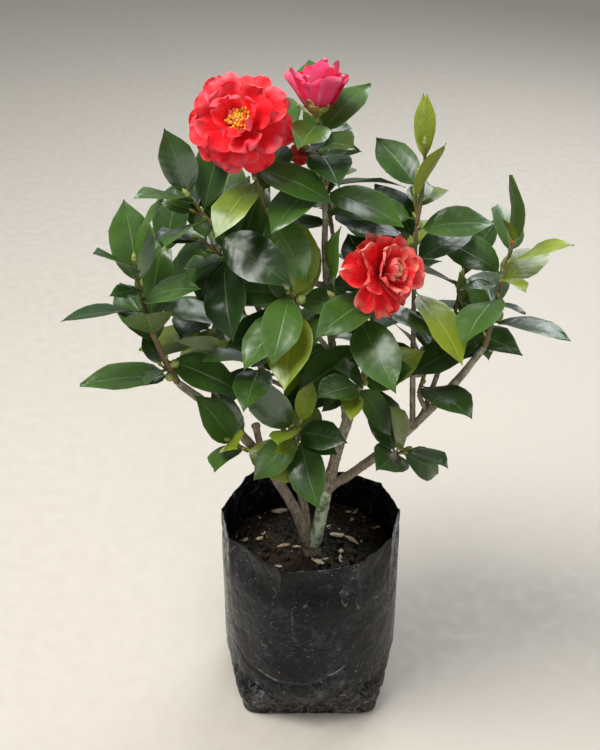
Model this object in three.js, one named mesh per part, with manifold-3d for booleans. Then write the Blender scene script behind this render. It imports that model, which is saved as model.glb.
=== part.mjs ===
// Camellia shrub: a young plant in flower, forked just above the soil, in a black polythene grow bag.
// Millimetres, +Z up, the origin in the middle of the bag's flat underside.
// A heading is a compass way seen from above: 0 is +X, 90 is +Y. A rise is the angle above the level.

import * as THREE from "three";
import { mergeVertices } from "three/addons/utils/BufferGeometryUtils.js";
import Module from "manifold-3d";

const wasm = await Module();
wasm.setup();

// ---- driving sizes: the bag and the soil ----

const gap = 0.3; // clearance between neighbouring solids

const bag = {
  radius: 80, // round above the gusset
  footHalf: 63.5, // square at the foot, on the same girth
  footPower: 9, // how square the foot is: 2 would be round
  gusset: 48, // height of the change from square to round
  wall: 1.2,
  floor: 1.6,
  rim: 187.7, // mean height of the open edge
  rimSides: 6.5, // the edge stands higher left and right
  rimFront: 5.5, // and higher in front than behind
  peak: { height: 15, heading: 118, spread: 13 }, // a corner of the edge that stands up
  levels: [0, 7, 20, 48], // heights of the rings up to the top of the gusset
  sides: 32,
};
const soil = {
  top: 143,
  flat: 40, // radius that is level, round the trunk
  fall: 3, // from there to the wall
  clearance: 0.5,
};

// ---- driving sizes: trunk and boughs ----

const footing = new THREE.Vector3(2, 0, soil.top);
const ground = soil.top + gap; // level of the flat cut under the trunk
const flare = { height: 7, width: 2 }; // root flare
const forkOffset = 5; // boughs on the head of the trunk stand this far out from its middle

// Each limb is one arc that starts on its parent, `at` that share of the way up.
// foot and tip are radii; turn and lift are what heading and rise change by on the way.
const limb = (on, at, heading, rise, length, foot, tip, bend = {}) => ({
  on, at, heading, rise, length, foot, tip, turn: 0, lift: 0, ...bend,
});
const limbSizes = {
  trunk: limb(null, 0, 200, 86, 25, 8, 9.2),
  bough_left: limb("trunk", 0.8, 195, 76, 208, 4.9, 3.2, { turn: -10, lift: -33 }),
  bough_stub: limb("bough_left", 0.46, 195, 76, 42, 3.2, 2.9, { lift: 8 }),
  bough_left_low: limb("bough_left", 0.56, 255, 25, 14, 2.4, 2),
  bough_side_left: limb("bough_left", 0.62, 120, 50, 60, 2.4, 1.8),
  bough_middle: limb("trunk", 0.8, 350, 82, 136, 6.2, 4, { turn: 20, lift: -6 }),
  bough_front: limb("bough_middle", 0.45, 225, 42, 75, 2.6, 2, { lift: 45 }),
  bough_right: limb("bough_middle", 0.42, 345, 42, 196, 4.4, 2.8, { turn: 20, lift: 18 }),
  bough_right_low: limb("bough_right", 0.33, 300, 15, 14, 2.2, 1.9),
  bough_right_inner: limb("bough_right", 0.62, 160, 50, 18, 2.2, 1.9, { lift: 20 }),
  bough_right_up: limb("bough_right", 0.52, 110, 84, 115, 2.6, 1.8),
  bough_side_right: limb("bough_right", 0.58, 60, 45, 70, 2.4, 1.8),
  bough_centre: limb("bough_middle", 0.98, 325, 70, 70, 3.2, 2.2, { lift: 10 }),
  bough_leader: limb("bough_middle", 0.98, 160, 74, 190, 3.6, 2.2, { turn: -60, lift: 14 }),
  bough_mid_right: limb("bough_leader", 0.12, 290, 40, 26, 2.2, 1.8),
  bough_mid_left: limb("bough_leader", 0.3, 220, 55, 55, 2.4, 1.8),
  bough_top_left: limb("bough_leader", 0.62, 190, 24, 92, 2.6, 1.8, { lift: 14 }),
  bough_bloom: limb("bough_top_left", 0.45, 200, 76, 44, 2, 1.7, { lift: 8 }),
  bough_back: limb("trunk", 0.85, 130, 78, 185, 4.2, 2.8, { turn: 30, lift: 8 }),
  bough_upper_left: limb("bough_back", 0.98, 185, 60, 84, 2.8, 1.8, { lift: 16 }),
  bough_mid_back: limb("bough_back", 0.8, 230, 40, 26, 2.2, 1.8),
  bough_rear_left: limb("bough_back", 0.4, 125, 45, 105, 2.8, 2, { lift: 15 }),
  bough_rear_right: limb("bough_middle", 0.6, 60, 42, 115, 2.8, 2, { lift: 20 }),
  bough_rear_top: limb("bough_leader", 0.5, 85, 50, 64, 2.2, 1.8, { lift: 10 }),
  bough_rear_low: limb("bough_back", 0.25, 95, 35, 80, 2.4, 1.8, { lift: 10 }),
};

// ---- driving sizes: the foliage masses ----

// A mass is one stem that goes on from the tip of its bough, with its leaves and side twigs.
// leaf is the length of its largest leaf, and seed fixes how its leaves fall out.
const mass = (bough, heading, rise, length, leaves, leaf, seed, more = {}) => ({
  bough, heading, rise, length, leaves, leaf, seed, lift: 0, twigs: [], flower: null, ...more,
});
// A side twig leaves the stem `at` a share of its length, towards a facing, `spread` degrees off its way.
const twig = (at, facing, spread, length, leaves, young = false) => ({
  at, facing, spread, length, leaves, young,
});
const flower = (form, radius, heading, rise) => ({ form, radius, heading, rise });

const massSizes = {
  foliage_left: mass("bough_left", 188, 66, 112, 10, 70, 2188, {
    lift: 22,
    twigs: [twig(0.5, 60, 50, 56, 3)],
  }),
  foliage_left_low: mass("bough_left_low", 225, 45, 26, 6, 60, 1154),
  foliage_upper_left: mass("bough_upper_left", 200, 45, 46, 8, 68, 1749),
  foliage_top_left: mass("bough_top_left", 188, 56, 44, 7, 66, 2195),
  foliage_bloom: mass("bough_bloom", 188, 72.5, 76, 7, 62, 1123, {
    lift: 6,
    flower: flower("open", 36, 262, 38),
  }),
  foliage_top: mass("bough_leader", 145, 84, 74, 9, 66, 417, {
    twigs: [twig(0.45, 200, 50, 44, 3)],
    flower: flower("opening", 18, 80, 80),
  }),
  foliage_right_up: mass("bough_right_up", 100, 86, 98, 11, 66, 638, {
    twigs: [twig(0.62, 0, 10, 62, 3, true)],
  }),
  foliage_right_tip: mass("bough_right", 50, 72, 84, 9, 68, 1191),
  foliage_right_inner: mass("bough_right_inner", 60, 55, 44, 7, 64, 173),
  foliage_right_low: mass("bough_right_low", 310, 45, 24, 5, 62, 392),
  foliage_centre: mass("bough_centre", 282, 80.5, 79, 8, 64, 1739, {
    twigs: [twig(0.4, 190, 55, 42, 3)],
    flower: flower("open", 33, 320, 30),
  }),
  foliage_mid_right: mass("bough_mid_right", 290, 40, 32, 6, 60, 738),
  foliage_mid_left: mass("bough_mid_left", 235, 60, 44, 8, 66, 332),
  foliage_front: mass("bough_front", 245, 50, 26, 6, 60, 39),
  foliage_side_left: mass("bough_side_left", 150, 72, 58, 8, 64, 498),
  foliage_mid_back: mass("bough_mid_back", 230, 60, 34, 7, 60, 847),
  foliage_side_right: mass("bough_side_right", 70, 60, 50, 7, 66, 83),
  foliage_rear_top: mass("bough_rear_top", 110, 66, 62, 9, 66, 273),
  foliage_rear_left: mass("bough_rear_left", 125, 60, 80, 9, 66, 65, {
    lift: 10,
    twigs: [twig(0.5, 100, 50, 48, 3)],
  }),
  foliage_rear_right: mass("bough_rear_right", 60, 62, 80, 9, 66, 415, {
    lift: 10,
    twigs: [twig(0.5, 120, 50, 48, 3)],
  }),
  foliage_rear_low: mass("bough_rear_low", 95, 35, 50, 8, 64, 215, { lift: 20 }),
};

// The form of every leaf. Widths, the stalk and the arch are shares of the leaf's own length.
const leafForm = {
  width: 0.5,
  youngWidth: 0.3,
  stalk: 0.09,
  stalkHalf: 0.6,
  solidStalkHalf: 0.9,
  fold: 0.28, // how far the margins stand above the midrib, per mm out
  arch: 0.11, // how far the tip bends down
  archByDroop: 0.22, // and how much more on a leaf that droops
  thickness: 1.6,
  stations: [0, 0.09, 0.3, 0.62, 1], // where its sections stand
};

// How leaves stand on a twig. Angles in degrees; each Spread is the most that chance adds or takes.
const growth = {
  firstOnStem: 7, // bare length at the foot of a stem
  firstOnTwig: 14,
  last: 0.985, // share of the twig at which the last leaf stands
  crowding: 0.85, // below 1 the leaves stand closer towards the tip
  turn: 137.5, // from each leaf round to the next
  turnSpread: 24,
  lean: 78, // off the twig's way, at its foot
  leanFall: 42, // and how much less at its tip
  leanSpread: 24,
  shrink: 0.14, // how much shorter the last leaf is than the first
  lengthSpread: 0.1,
  droop: 0.2,
  droopSpread: 0.4,
  rollSpread: 22,
  endLean: 15, // the last leaf carries the twig on
  endDroop: 0.05,
  retryTurns: [0, 14, -14, 28, -28, 42, -42, 60, -60], // tried in this order where a leaf doesn't fit
  retryLeans: [0, -14, 14],
};
// A young shoot has a few narrow leaves, all at its tip.
const youngGrowth = { first: 0.8, lean: 14, leanRise: 8, size: 0.68 };

// A flower's petals stand in rings, given by their lean off its axis; sizes are shares of its radius.
const flowerForms = {
  open: {
    lift: 0.3, // from the stem's tip to the middle of the space that it keeps
    heart: 0.3,
    stamens: { radius: 0.14, height: 0.44 },
    rings: [
      { count: 8, lean: 84, length: 1, width: 0.74, arch: 0.02 },
      { count: 5, lean: 54, length: 0.8, width: 0.72, arch: -0.12 },
    ],
  },
  opening: {
    lift: 0.9,
    heart: 0.42,
    stamens: null,
    rings: [
      { count: 5, lean: 36, length: 2, width: 1.3, arch: -0.22 },
      { count: 3, lean: 14, length: 1.8, width: 1.1, arch: -0.14 },
    ],
  },
};
const petalForm = { fold: 0.16, thickness: 1.6, stations: [0.2, 0.62, 0.93] };
const bud = { length: 9, radius: 2.5 }; // the resting bud on a stem with no flower

// ---- arithmetic ----

const radians = THREE.MathUtils.degToRad;
const degrees = THREE.MathUtils.radToDeg;
const clamp = THREE.MathUtils.clamp;

const along = (heading, rise) =>
  new THREE.Vector3(Math.cos(rise) * Math.cos(heading), Math.cos(rise) * Math.sin(heading), Math.sin(rise));
const sideways = (heading) => new THREE.Vector3(-Math.sin(heading), Math.cos(heading), 0);
const upward = (heading, rise) =>
  new THREE.Vector3(-Math.sin(rise) * Math.cos(heading), -Math.sin(rise) * Math.sin(heading), Math.cos(rise));
const mix = (...terms) => {
  const sum = new THREE.Vector3();
  for (const [vector, share] of terms) sum.addScaledVector(vector, share);
  return sum;
};

// The same run of numbers for a seed every time.
class Dice {
  constructor(seed) {
    this.state = (seed * 7919 + 17) >>> 0;
    for (let warmUp = 0; warmUp < 3; warmUp += 1) this.next();
  }

  next() {
    this.state = (Math.imul(this.state, 1664525) + 1013904223) >>> 0;
    return this.state / 4294967296;
  }

  spread(most) {
    return (this.next() * 2 - 1) * most;
  }
}

// ---- closed solids ----

// Rings of equal count, joined one to the next. A ring of one point closes an end in a tip,
// and any other end is closed by a fan round its middle.
function loft(rings) {
  const points = [];
  const faces = [];
  const starts = [];
  for (const ring of rings) {
    starts.push(points.length);
    points.push(...ring);
  }
  const sides = Math.max(...rings.map((ring) => ring.length));
  const vertex = (ring, side) => starts[ring] + (rings[ring].length === 1 ? 0 : side % sides);
  for (let ring = 0; ring + 1 < rings.length; ring += 1) {
    for (let side = 0; side < sides; side += 1) {
      const [here, beside] = [vertex(ring, side), vertex(ring, side + 1)];
      const [above, across] = [vertex(ring + 1, side), vertex(ring + 1, side + 1)];
      if (here !== beside) faces.push([here, beside, across]);
      if (above !== across) faces.push([here, across, above]);
    }
  }
  const cap = (ring, flip) => {
    if (rings[ring].length === 1) return;
    const middle = points.length;
    points.push(rings[ring].reduce((sum, point) => sum.add(point), new THREE.Vector3()).divideScalar(sides));
    for (let side = 0; side < sides; side += 1) {
      const edge = [vertex(ring, side), vertex(ring, side + 1)];
      faces.push(flip ? [middle, edge[1], edge[0]] : [middle, edge[0], edge[1]]);
    }
  };
  cap(0, true);
  cap(rings.length - 1, false);
  const geometry = new THREE.BufferGeometry();
  geometry.setAttribute("position", new THREE.Float32BufferAttribute(points.flatMap((p) => p.toArray()), 3));
  geometry.setIndex(outwardFaces(points, faces).flat());
  return geometry;
}

// Turns the faces round if they enclose a negative volume.
function outwardFaces(points, faces) {
  let volume = 0;
  for (const [a, b, c] of faces) volume += points[a].dot(points[b].clone().cross(points[c]));
  return volume < 0 ? faces.map(([a, b, c]) => [a, c, b]) : faces;
}

function toSolid(geometry) {
  const bare = geometry.clone();
  bare.deleteAttribute("normal");
  bare.deleteAttribute("uv");
  const merged = mergeVertices(bare, 1e-5);
  const vertProperties = new Float32Array(merged.getAttribute("position").array);
  const triVerts = new Uint32Array(merged.getIndex().array);
  return new wasm.Manifold(new wasm.Mesh({ numProp: 3, vertProperties, triVerts }));
}

// The largest body of a solid, with any hollow inside it filled.
function mainBody(solid) {
  const volume = (body) => Math.abs(body.volume());
  return solid.decompose().sort((a, b) => volume(b) - volume(a))[0];
}

function toGeometry(solid) {
  const { vertProperties, triVerts, numProp } = solid.getMesh();
  const places = new Float32Array((vertProperties.length / numProp) * 3);
  for (let vertex = 0; vertex * 3 < places.length; vertex += 1) {
    const from = vertex * numProp;
    places.set(vertProperties.subarray(from, from + 3), vertex * 3);
  }
  const geometry = new THREE.BufferGeometry();
  geometry.setAttribute("position", new THREE.BufferAttribute(places, 3));
  geometry.setIndex(new THREE.BufferAttribute(new Uint32Array(triVerts), 1));
  return geometry;
}

const joined = (geometries) => geometries.map(toSolid).reduce((sum, solid) => sum.add(solid));

// ---- limbs ----

const steps = 16; // pieces in which a limb's arc is added up

class Limb {
  constructor(start, { heading, rise, length, turn = 0, lift = 0, foot, tip }) {
    this.heading = radians(heading);
    this.rise = radians(rise);
    this.turn = radians(turn);
    this.lift = radians(lift);
    this.length = length;
    this.foot = foot;
    this.tip = tip;
    this.places = [start.clone()];
    for (let step = 0; step < steps; step += 1) {
      const middle = (step + 0.5) / steps;
      const way = along(this.heading + this.turn * middle, this.rise + this.lift * middle);
      this.places.push(mix([this.places[step], 1], [way, length / steps]));
    }
  }

  at(share) {
    const step = Math.min(Math.floor(share * steps), steps - 1);
    return this.places[step].clone().lerp(this.places[step + 1], share * steps - step);
  }

  frame(share) {
    const heading = this.heading + this.turn * share;
    const rise = this.rise + this.lift * share;
    return { way: along(heading, rise), side: sideways(heading), up: upward(heading, rise) };
  }

  radius(share) {
    return this.foot + (this.tip - this.foot) * share;
  }
}

function ring(middle, { side, up }, radius, sides) {
  return Array.from({ length: sides }, (_, corner) => {
    const angle = (corner / sides) * 2 * Math.PI;
    return mix([middle, 1], [side, radius * Math.cos(angle)], [up, radius * Math.sin(angle)]);
  });
}

// A tapering tube along a limb. `spare` makes it that much larger all round, to cut its neighbours with.
function tube(limbArc, sides, pieces, spare = 0) {
  const rings = [];
  for (let piece = 0; piece <= pieces; piece += 1) {
    const share = piece / pieces;
    const frame = limbArc.frame(share);
    const push = piece === 0 ? -spare : piece === pieces ? spare : 0;
    const middle = mix([limbArc.at(share), 1], [frame.way, push]);
    rings.push(ring(middle, frame, limbArc.radius(share) + spare, sides));
  }
  return loft(rings);
}

const limbs = {};
for (const [name, size] of Object.entries(limbSizes)) {
  const start = size.on ? limbs[size.on].at(size.at) : footing.clone();
  if (size.on === "trunk") start.addScaledVector(along(radians(size.heading), 0), forkOffset);
  limbs[name] = new Limb(start, size);
}

const limbSides = (limbArc) => (limbArc.foot > 4 ? 9 : 6);
const limbPieces = (limbArc) => Math.max(2, Math.round(limbArc.length / 24));
const limbTube = (limbArc, spare) => tube(limbArc, limbSides(limbArc), limbPieces(limbArc), spare);

// The trunk: a flaring foot under the tube, cut flat at the ground.
function trunkSolid() {
  const trunk = limbs.trunk;
  const { way, side, up } = trunk.frame(0);
  const level = (depth, wider) =>
    ring(mix([trunk.at(0), 1], [way, depth]), { side, up }, trunk.foot + wider, limbSides(trunk));
  const foot = loft([level(-3, flare.width * 1.5), level(0, flare.width), level(flare.height, 0)]);
  const below = new THREE.BoxGeometry(60, 60, 20).translate(footing.x, footing.y, ground - 10);
  return joined([limbTube(trunk), foot]).subtract(toSolid(below));
}

// A bough, cut clear of the limbs that were there before it.
function boughSolid(name, earlier) {
  const cutters = earlier.map((other) => toSolid(limbTube(limbs[other], gap)));
  return mainBody(cutters.reduce((solid, cutter) => solid.subtract(cutter), toSolid(limbTube(limbs[name]))));
}

// ---- leaves ----

// Half width of a leaf at a share of its length: an ellipse drawn out to a point.
function leafOutline(share) {
  return Math.sin(Math.PI * share ** 0.82) ** 0.8 * (1 - 0.28 * clamp((share - 0.7) / 0.3, 0, 1));
}

// Half width of a petal: narrow at the claw, widest past the middle, with a round end.
function petalOutline(share) {
  return 1.12 * share ** 0.7 * (1 - share ** 4) ** 0.6;
}

const stalkedHalf = (width, share) =>
  (width / 2) * leafOutline(clamp((share - leafForm.stalk) / (1 - leafForm.stalk), 0, 1));

// A point of a leaf: share 0 to 1 from root to tip, side -1 to 1 from margin to margin.
function leafPoint(leaf, share, side) {
  const least = share < leafForm.stalk + 0.02 ? leafForm.stalkHalf : 0;
  const out = Math.max(stalkedHalf(leaf.width, share), least);
  return mix(
    [leaf.root, 1],
    [leaf.way, leaf.length * share],
    [leaf.up, -leaf.arch * leaf.length * share * share + Math.abs(side) * out * leafForm.fold],
    [leaf.across, side * out],
  );
}

// Solid blade on a folded midrib, a loft of four-cornered sections. `half` gives its half width at a share.
function bladeGeometry({ root, way, up, across, length, arch, fold, thickness, stations }, half) {
  const rings = stations.map((share) => {
    const middle = mix([root, 1], [way, length * share], [up, -arch * length * share * share]);
    if (share === 1) return [middle];
    const out = half(share);
    const corner = (side) => mix([middle, 1], [across, side * out], [up, fold * out]);
    const face = (side) => mix([middle, 1], [up, (side * thickness) / 2]);
    return [corner(-1), face(1), corner(1), face(-1)];
  });
  return loft(rings);
}

function leafGeometry(leaf) {
  const { fold, thickness, stations, stalk, solidStalkHalf } = leafForm;
  const half = (share) => (share > stalk ? stalkedHalf(leaf.width, share) : solidStalkHalf);
  return bladeGeometry({ ...leaf, fold, thickness, stations }, half);
}

// ---- the space that is taken ----

const sampleShares = Array.from({ length: 9 }, (_, index) => index / 8);
const sampleSides = [-1, -0.5, 0, 0.5, 1];
const clearance = {
  ownRoot: 0.24, // leaves of one mass may meet this far from their roots
  ownStalk: 0.35, // and a leaf may be this near its own twigs
  limb: 2.2, // from a leaf's points to the bark
  limbFace: 1.8, // from the bark to a leaf's face
  limbEdge: 1,
  face: 3.4, // between the faces of two leaves
  edge: 1.5,
  reachOfLimb: 60, // further apart than this nothing can touch
  reachOfLeaf: 80,
};

// Whether a place lies within `above` of a leaf's face and within `beside` of its outline.
function nearFace(leaf, place, from, above, beside) {
  const offset = place.clone().sub(leaf.root);
  const share = offset.dot(leaf.way) / leaf.length;
  if (share <= from || share >= 1.03) return false;
  const out = Math.abs(offset.dot(leaf.across));
  if (out >= stalkedHalf(leaf.width, share) + beside) return false;
  const face = -leaf.arch * leaf.length * share * share + leafForm.fold * out;
  return Math.abs(offset.dot(leaf.up) - face) < above;
}

class Space {
  constructor() {
    this.bark = [];
    this.leaves = [];
    this.flowers = [];
  }

  addLimb(limbArc, owner) {
    const count = Math.max(3, Math.floor(limbArc.length / 5));
    for (let index = 0; index <= count; index += 1) {
      const share = index / count;
      this.bark.push({ place: limbArc.at(share), radius: limbArc.radius(share), owner });
    }
  }

  addLeaf(leaf, owner) {
    this.leaves.push({ leaf, owner });
  }

  clearOfBark(leaf, owner) {
    return !this.bark.some((point) => {
      if (point.place.distanceTo(leaf.middle) >= clearance.reachOfLimb) return false;
      const own = point.owner === owner;
      const near = point.radius + clearance.limb;
      const touched = leaf.samples.some(({ place, share }) =>
        !(own && share < clearance.ownStalk) && place.distanceTo(point.place) < near);
      const from = own ? clearance.ownStalk : 0;
      const above = point.radius + clearance.limbFace;
      return touched || nearFace(leaf, point.place, from, above, point.radius + clearance.limbEdge);
    });
  }

  clearOfFlowers(leaf, owner) {
    return !this.flowers.some((flower) => {
      const own = flower.owner === owner;
      const radius = flower.size * (own ? 0.86 : 1) + (own ? 0 : 2);
      const half = flower.size * (own ? 0.43 : 0.5) + (own ? 0 : 2);
      return leaf.samples.some(({ place, share }) => {
        if (own && share <= clearance.ownRoot) return false;
        const offset = place.clone().sub(flower.middle);
        const height = offset.dot(flower.axis);
        const outSquared = Math.max(offset.lengthSq() - height * height, 0);
        return (height / half) ** 2 + outSquared / radius ** 2 < 1;
      });
    });
  }

  clearOfLeaves(leaf, owner) {
    return !this.leaves.some(({ leaf: other, owner: otherOwner }) => {
      if (other.middle.distanceTo(leaf.middle) >= clearance.reachOfLeaf) return false;
      const own = owner === otherOwner;
      const from = own ? clearance.ownRoot : -0.02;
      const touches = (moving, still) => moving.samples.some(({ place, share }) =>
        !(own && share <= clearance.ownRoot) && nearFace(still, place, from, clearance.face, clearance.edge));
      return touches(leaf, other) || touches(other, leaf);
    });
  }

  isClear(leaf, owner) {
    if (!this.clearOfBark(leaf, owner) || !this.clearOfFlowers(leaf, owner)) return false;
    return this.clearOfLeaves(leaf, owner);
  }
}

// ---- growth ----

// The way that something leaves a twig: spread from the twig's own way, towards a compass facing.
function leavingWay(twig, share, facing, spread) {
  const { way, side, up } = twig.frame(share);
  const around = radians(facing) - (twig.heading + twig.turn * share) - Math.PI / 2;
  const out = mix([side, Math.cos(around)], [up, Math.sin(around)]);
  return mix([way, Math.cos(radians(spread))], [out, Math.sin(radians(spread))]).normalize();
}

// A leaf leaves its twig, sinks by its droop, and turns its upper face to the twig's tip and the light.
function makeLeaf(twig, share, facing, spread, { length, droop, roll, width }) {
  const way = leavingWay(twig, share, facing, spread).sub(new THREE.Vector3(0, 0, droop)).normalize();
  const light = mix([twig.frame(share).way, 0.55], [new THREE.Vector3(0, -0.12, 0.6), 1]);
  const level = light.addScaledVector(way, -light.dot(way)).normalize();
  const beside = level.clone().cross(way);
  const up = mix([level, Math.cos(radians(roll))], [beside, Math.sin(radians(roll))]).normalize();
  const leaf = {
    root: twig.at(share),
    way,
    up,
    across: up.clone().cross(way),
    length,
    width: length * width,
    arch: leafForm.arch + leafForm.archByDroop * Math.max(droop, 0),
  };
  leaf.samples = sampleSides.flatMap((side) =>
    sampleShares.map((at) => ({ share: at, place: leafPoint(leaf, at, side) })));
  leaf.middle = leafPoint(leaf, 0.5, 0);
  return leaf;
}

// The stem of a mass goes on from its bough's tip, and its twigs leave the stem.
function growTwigs(size) {
  const bough = limbs[size.bough];
  const stem = new Limb(bough.at(1), { ...size, foot: bough.tip * 0.92, tip: 1.1 });
  const twigs = size.twigs.map((branch) => {
    const way = leavingWay(stem, branch.at, branch.facing, branch.spread);
    return new Limb(stem.at(branch.at), {
      heading: degrees(Math.atan2(way.y, way.x)),
      rise: degrees(Math.asin(way.z)),
      length: branch.length,
      lift: 15,
      foot: 1.5,
      tip: 1,
    });
  });
  return [stem, ...twigs];
}

// Leaves stand 137.5 degrees apart round a twig, flatter at its foot than at its tip.
// One that would touch a limb, a flower or another leaf is turned, and if that fails it is left out.
function growLeaves(name, size, twigs, space) {
  const dice = new Dice(size.seed);
  const hand = dice.next() < 0.5 ? 1 : -1;
  const leaves = [];
  twigs.forEach((twig, order) => {
    const branch = order > 0 ? size.twigs[order - 1] : null;
    const count = branch ? branch.leaves : size.leaves;
    const first = (branch ? growth.firstOnTwig : growth.firstOnStem) / twig.length;
    const facing = dice.next() * 360;
    for (let index = 0; index < count; index += 1) {
      const share = index / Math.max(count - 1, 1);
      let at = first + (growth.last - first) * share ** growth.crowding;
      const way = facing + hand * growth.turn * index + dice.spread(growth.turnSpread);
      let lean = growth.lean - growth.leanFall * share + dice.spread(growth.leanSpread);
      const length = size.leaf * (1 - growth.shrink * share) * (1 + dice.spread(growth.lengthSpread));
      const droop = growth.droop + dice.spread(growth.droopSpread);
      const form = { length, droop, roll: dice.spread(growth.rollSpread), width: leafForm.width };
      if (index === count - 1 && !(size.flower && order === 0)) {
        lean = growth.endLean + 0.4 * (lean - (growth.lean - growth.leanFall));
        form.droop = growth.endDroop;
      }
      if (branch && branch.young) {
        at = youngGrowth.first + (growth.last - youngGrowth.first) * share;
        lean = youngGrowth.lean + youngGrowth.leanRise * share;
        Object.assign(form, { length: length * youngGrowth.size, droop: 0, width: leafForm.youngWidth });
      }
      const leaf = placeLeaf(twig, at, way, lean, form, space, name);
      if (leaf) leaves.push(leaf);
    }
  });
  return leaves;
}

function placeLeaf(twig, at, way, lean, form, space, owner) {
  for (const turn of growth.retryTurns) {
    for (const more of growth.retryLeans) {
      const leaf = makeLeaf(twig, at, way + turn, lean + more, form);
      if (space.isClear(leaf, owner)) {
        space.addLeaf(leaf, owner);
        return leaf;
      }
    }
  }
  return null;
}

// ---- flowers and buds ----

const flowerAxis = ({ heading, rise }) => along(radians(heading), radians(rise));

function flowerPieces(size, stem) {
  const { radius, heading, rise } = size;
  const shape = flowerForms[size.form];
  const axis = flowerAxis(size);
  const side = sideways(radians(heading));
  const up = upward(radians(heading), radians(rise));
  const base = stem.at(1);
  const pieces = [];
  shape.rings.forEach(({ count, lean, length, width, arch }, row) => {
    for (let petal = 0; petal < count; petal += 1) {
      const angle = ((petal + 0.5 * row) / count) * 2 * Math.PI;
      const out = mix([side, Math.cos(angle)], [up, Math.sin(angle)]);
      const way = mix([axis, Math.cos(radians(lean))], [out, Math.sin(radians(lean))]);
      const face = mix([axis, Math.sin(radians(lean))], [out, -Math.cos(radians(lean))]);
      const blade = {
        root: mix([base, 1], [axis, 1 + 0.05 * radius * row]),
        way,
        up: face,
        across: face.clone().cross(way),
        length: radius * length,
        width: radius * width,
        arch,
        ...petalForm,
      };
      pieces.push(bladeGeometry(blade, (share) => (blade.width / 2) * petalOutline(share)));
    }
  });
  const heart = new THREE.SphereGeometry(radius * shape.heart, 6, 4);
  heart.translate(...mix([base, 1], [axis, radius * 0.06]).toArray());
  pieces.push(heart);
  if (shape.stamens) {
    const { radius: wide, height } = shape.stamens;
    const knob = new Limb(base, {
      heading, rise, length: radius * height, foot: radius * wide * 0.8, tip: radius * wide,
    });
    pieces.push(tube(knob, 8, 1));
  }
  return pieces;
}

// A resting bud on the tip of a stem: a small spindle.
function budGeometry(stem) {
  const frame = stem.frame(1);
  const section = (height, radius) => ring(mix([stem.at(1), 1], [frame.way, height]), frame, radius, 5);
  const tip = [mix([stem.at(1), 1], [frame.way, bud.length])];
  const { length, radius } = bud;
  return loft([section(-1, 0.8), section(length * 0.4, radius), section(length * 0.75, radius * 0.6), tip]);
}

// ---- bag and soil ----

// Radius of the bag's wall: a circle above the gusset that squares off towards the foot.
function bagRadius(height, angle) {
  const share = clamp(height / bag.gusset, 0, 1);
  const round = share * share * (3 - 2 * share);
  const half = bag.footHalf + (bag.radius - bag.footHalf) * round;
  const power = 2 + (bag.footPower - 2) * (1 - round) ** 1.6;
  const sum = Math.abs(Math.cos(angle)) ** power + Math.abs(Math.sin(angle)) ** power;
  return half / sum ** (1 / power);
}

function rimHeight(angle) {
  const away = degrees(angle) - bag.peak.heading;
  const peak = bag.peak.height * Math.exp(-((away / bag.peak.spread) ** 2));
  return bag.rim + bag.rimSides * Math.cos(2 * angle) - bag.rimFront * Math.sin(angle) + peak;
}

// One ring of the bag: level at a height, or `share` of the way from there to the edge and beyond.
function bagRing(height, inset, share = 0) {
  return Array.from({ length: bag.sides }, (_, corner) => {
    const angle = (corner / bag.sides) * 2 * Math.PI;
    const z = height + (rimHeight(angle) - height) * share;
    const radius = bagRadius(z, angle) - inset;
    return new THREE.Vector3(radius * Math.cos(angle), radius * Math.sin(angle), z);
  });
}

// The rings of a column that follows the bag's wall up to the top of the gusset.
const bagColumn = (floor, inset) => bag.levels.map((height) => bagRing(Math.max(height, floor), inset));

function bagSolid() {
  const outside = loft([...bagColumn(0, 0), bagRing(bag.gusset, 0, 1)]);
  const cavity = loft([...bagColumn(bag.floor, bag.wall), bagRing(bag.gusset, bag.wall, 1.5)]);
  return toSolid(outside).subtract(toSolid(cavity));
}

// The filling, level round the trunk and a little lower at the wall.
function soilGeometry() {
  const inset = bag.wall + soil.clearance;
  const edge = bagRing(soil.top - soil.fall, inset);
  const flat = bagRing(soil.top, bag.radius - soil.flat);
  return loft([...bagColumn(bag.floor + gap, inset), edge, flat]);
}

// ---- finishes ----

const finish = (color, roughness) => new THREE.MeshStandardMaterial({ color, roughness, metalness: 0 });
const finishes = {
  bark: finish(0x6e5b47, 0.85),
  foliage: finish(0x2f5a2a, 0.35),
  polythene: finish(0x17181a, 0.5),
  compost: finish(0x2c211a, 0.95),
};

// ---- assembly ----

const shrub = new THREE.Group();

function add(name, geometry, material) {
  const mesh = new THREE.Mesh(geometry, material);
  mesh.name = name;
  shrub.add(mesh);
}

add("grow_bag", toGeometry(bagSolid()), finishes.polythene);
add("soil", soilGeometry(), finishes.compost);
add("trunk", toGeometry(mainBody(trunkSolid())), finishes.bark);
Object.keys(limbs).forEach((name, order, names) => {
  if (name !== "trunk") add(name, toGeometry(boughSolid(name, names.slice(0, order))), finishes.bark);
});

const space = new Space();
for (const [name, limbArc] of Object.entries(limbs)) space.addLimb(limbArc, name);
const twigsOf = {};
for (const [name, size] of Object.entries(massSizes)) {
  twigsOf[name] = growTwigs(size);
  for (const twig of twigsOf[name]) space.addLimb(twig, name);
  if (size.flower) {
    const { form, radius } = size.flower;
    const axis = flowerAxis(size.flower);
    const middle = mix([twigsOf[name][0].at(1), 1], [axis, radius * flowerForms[form].lift]);
    space.flowers.push({ middle, axis, size: radius, owner: name });
  }
}

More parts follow.
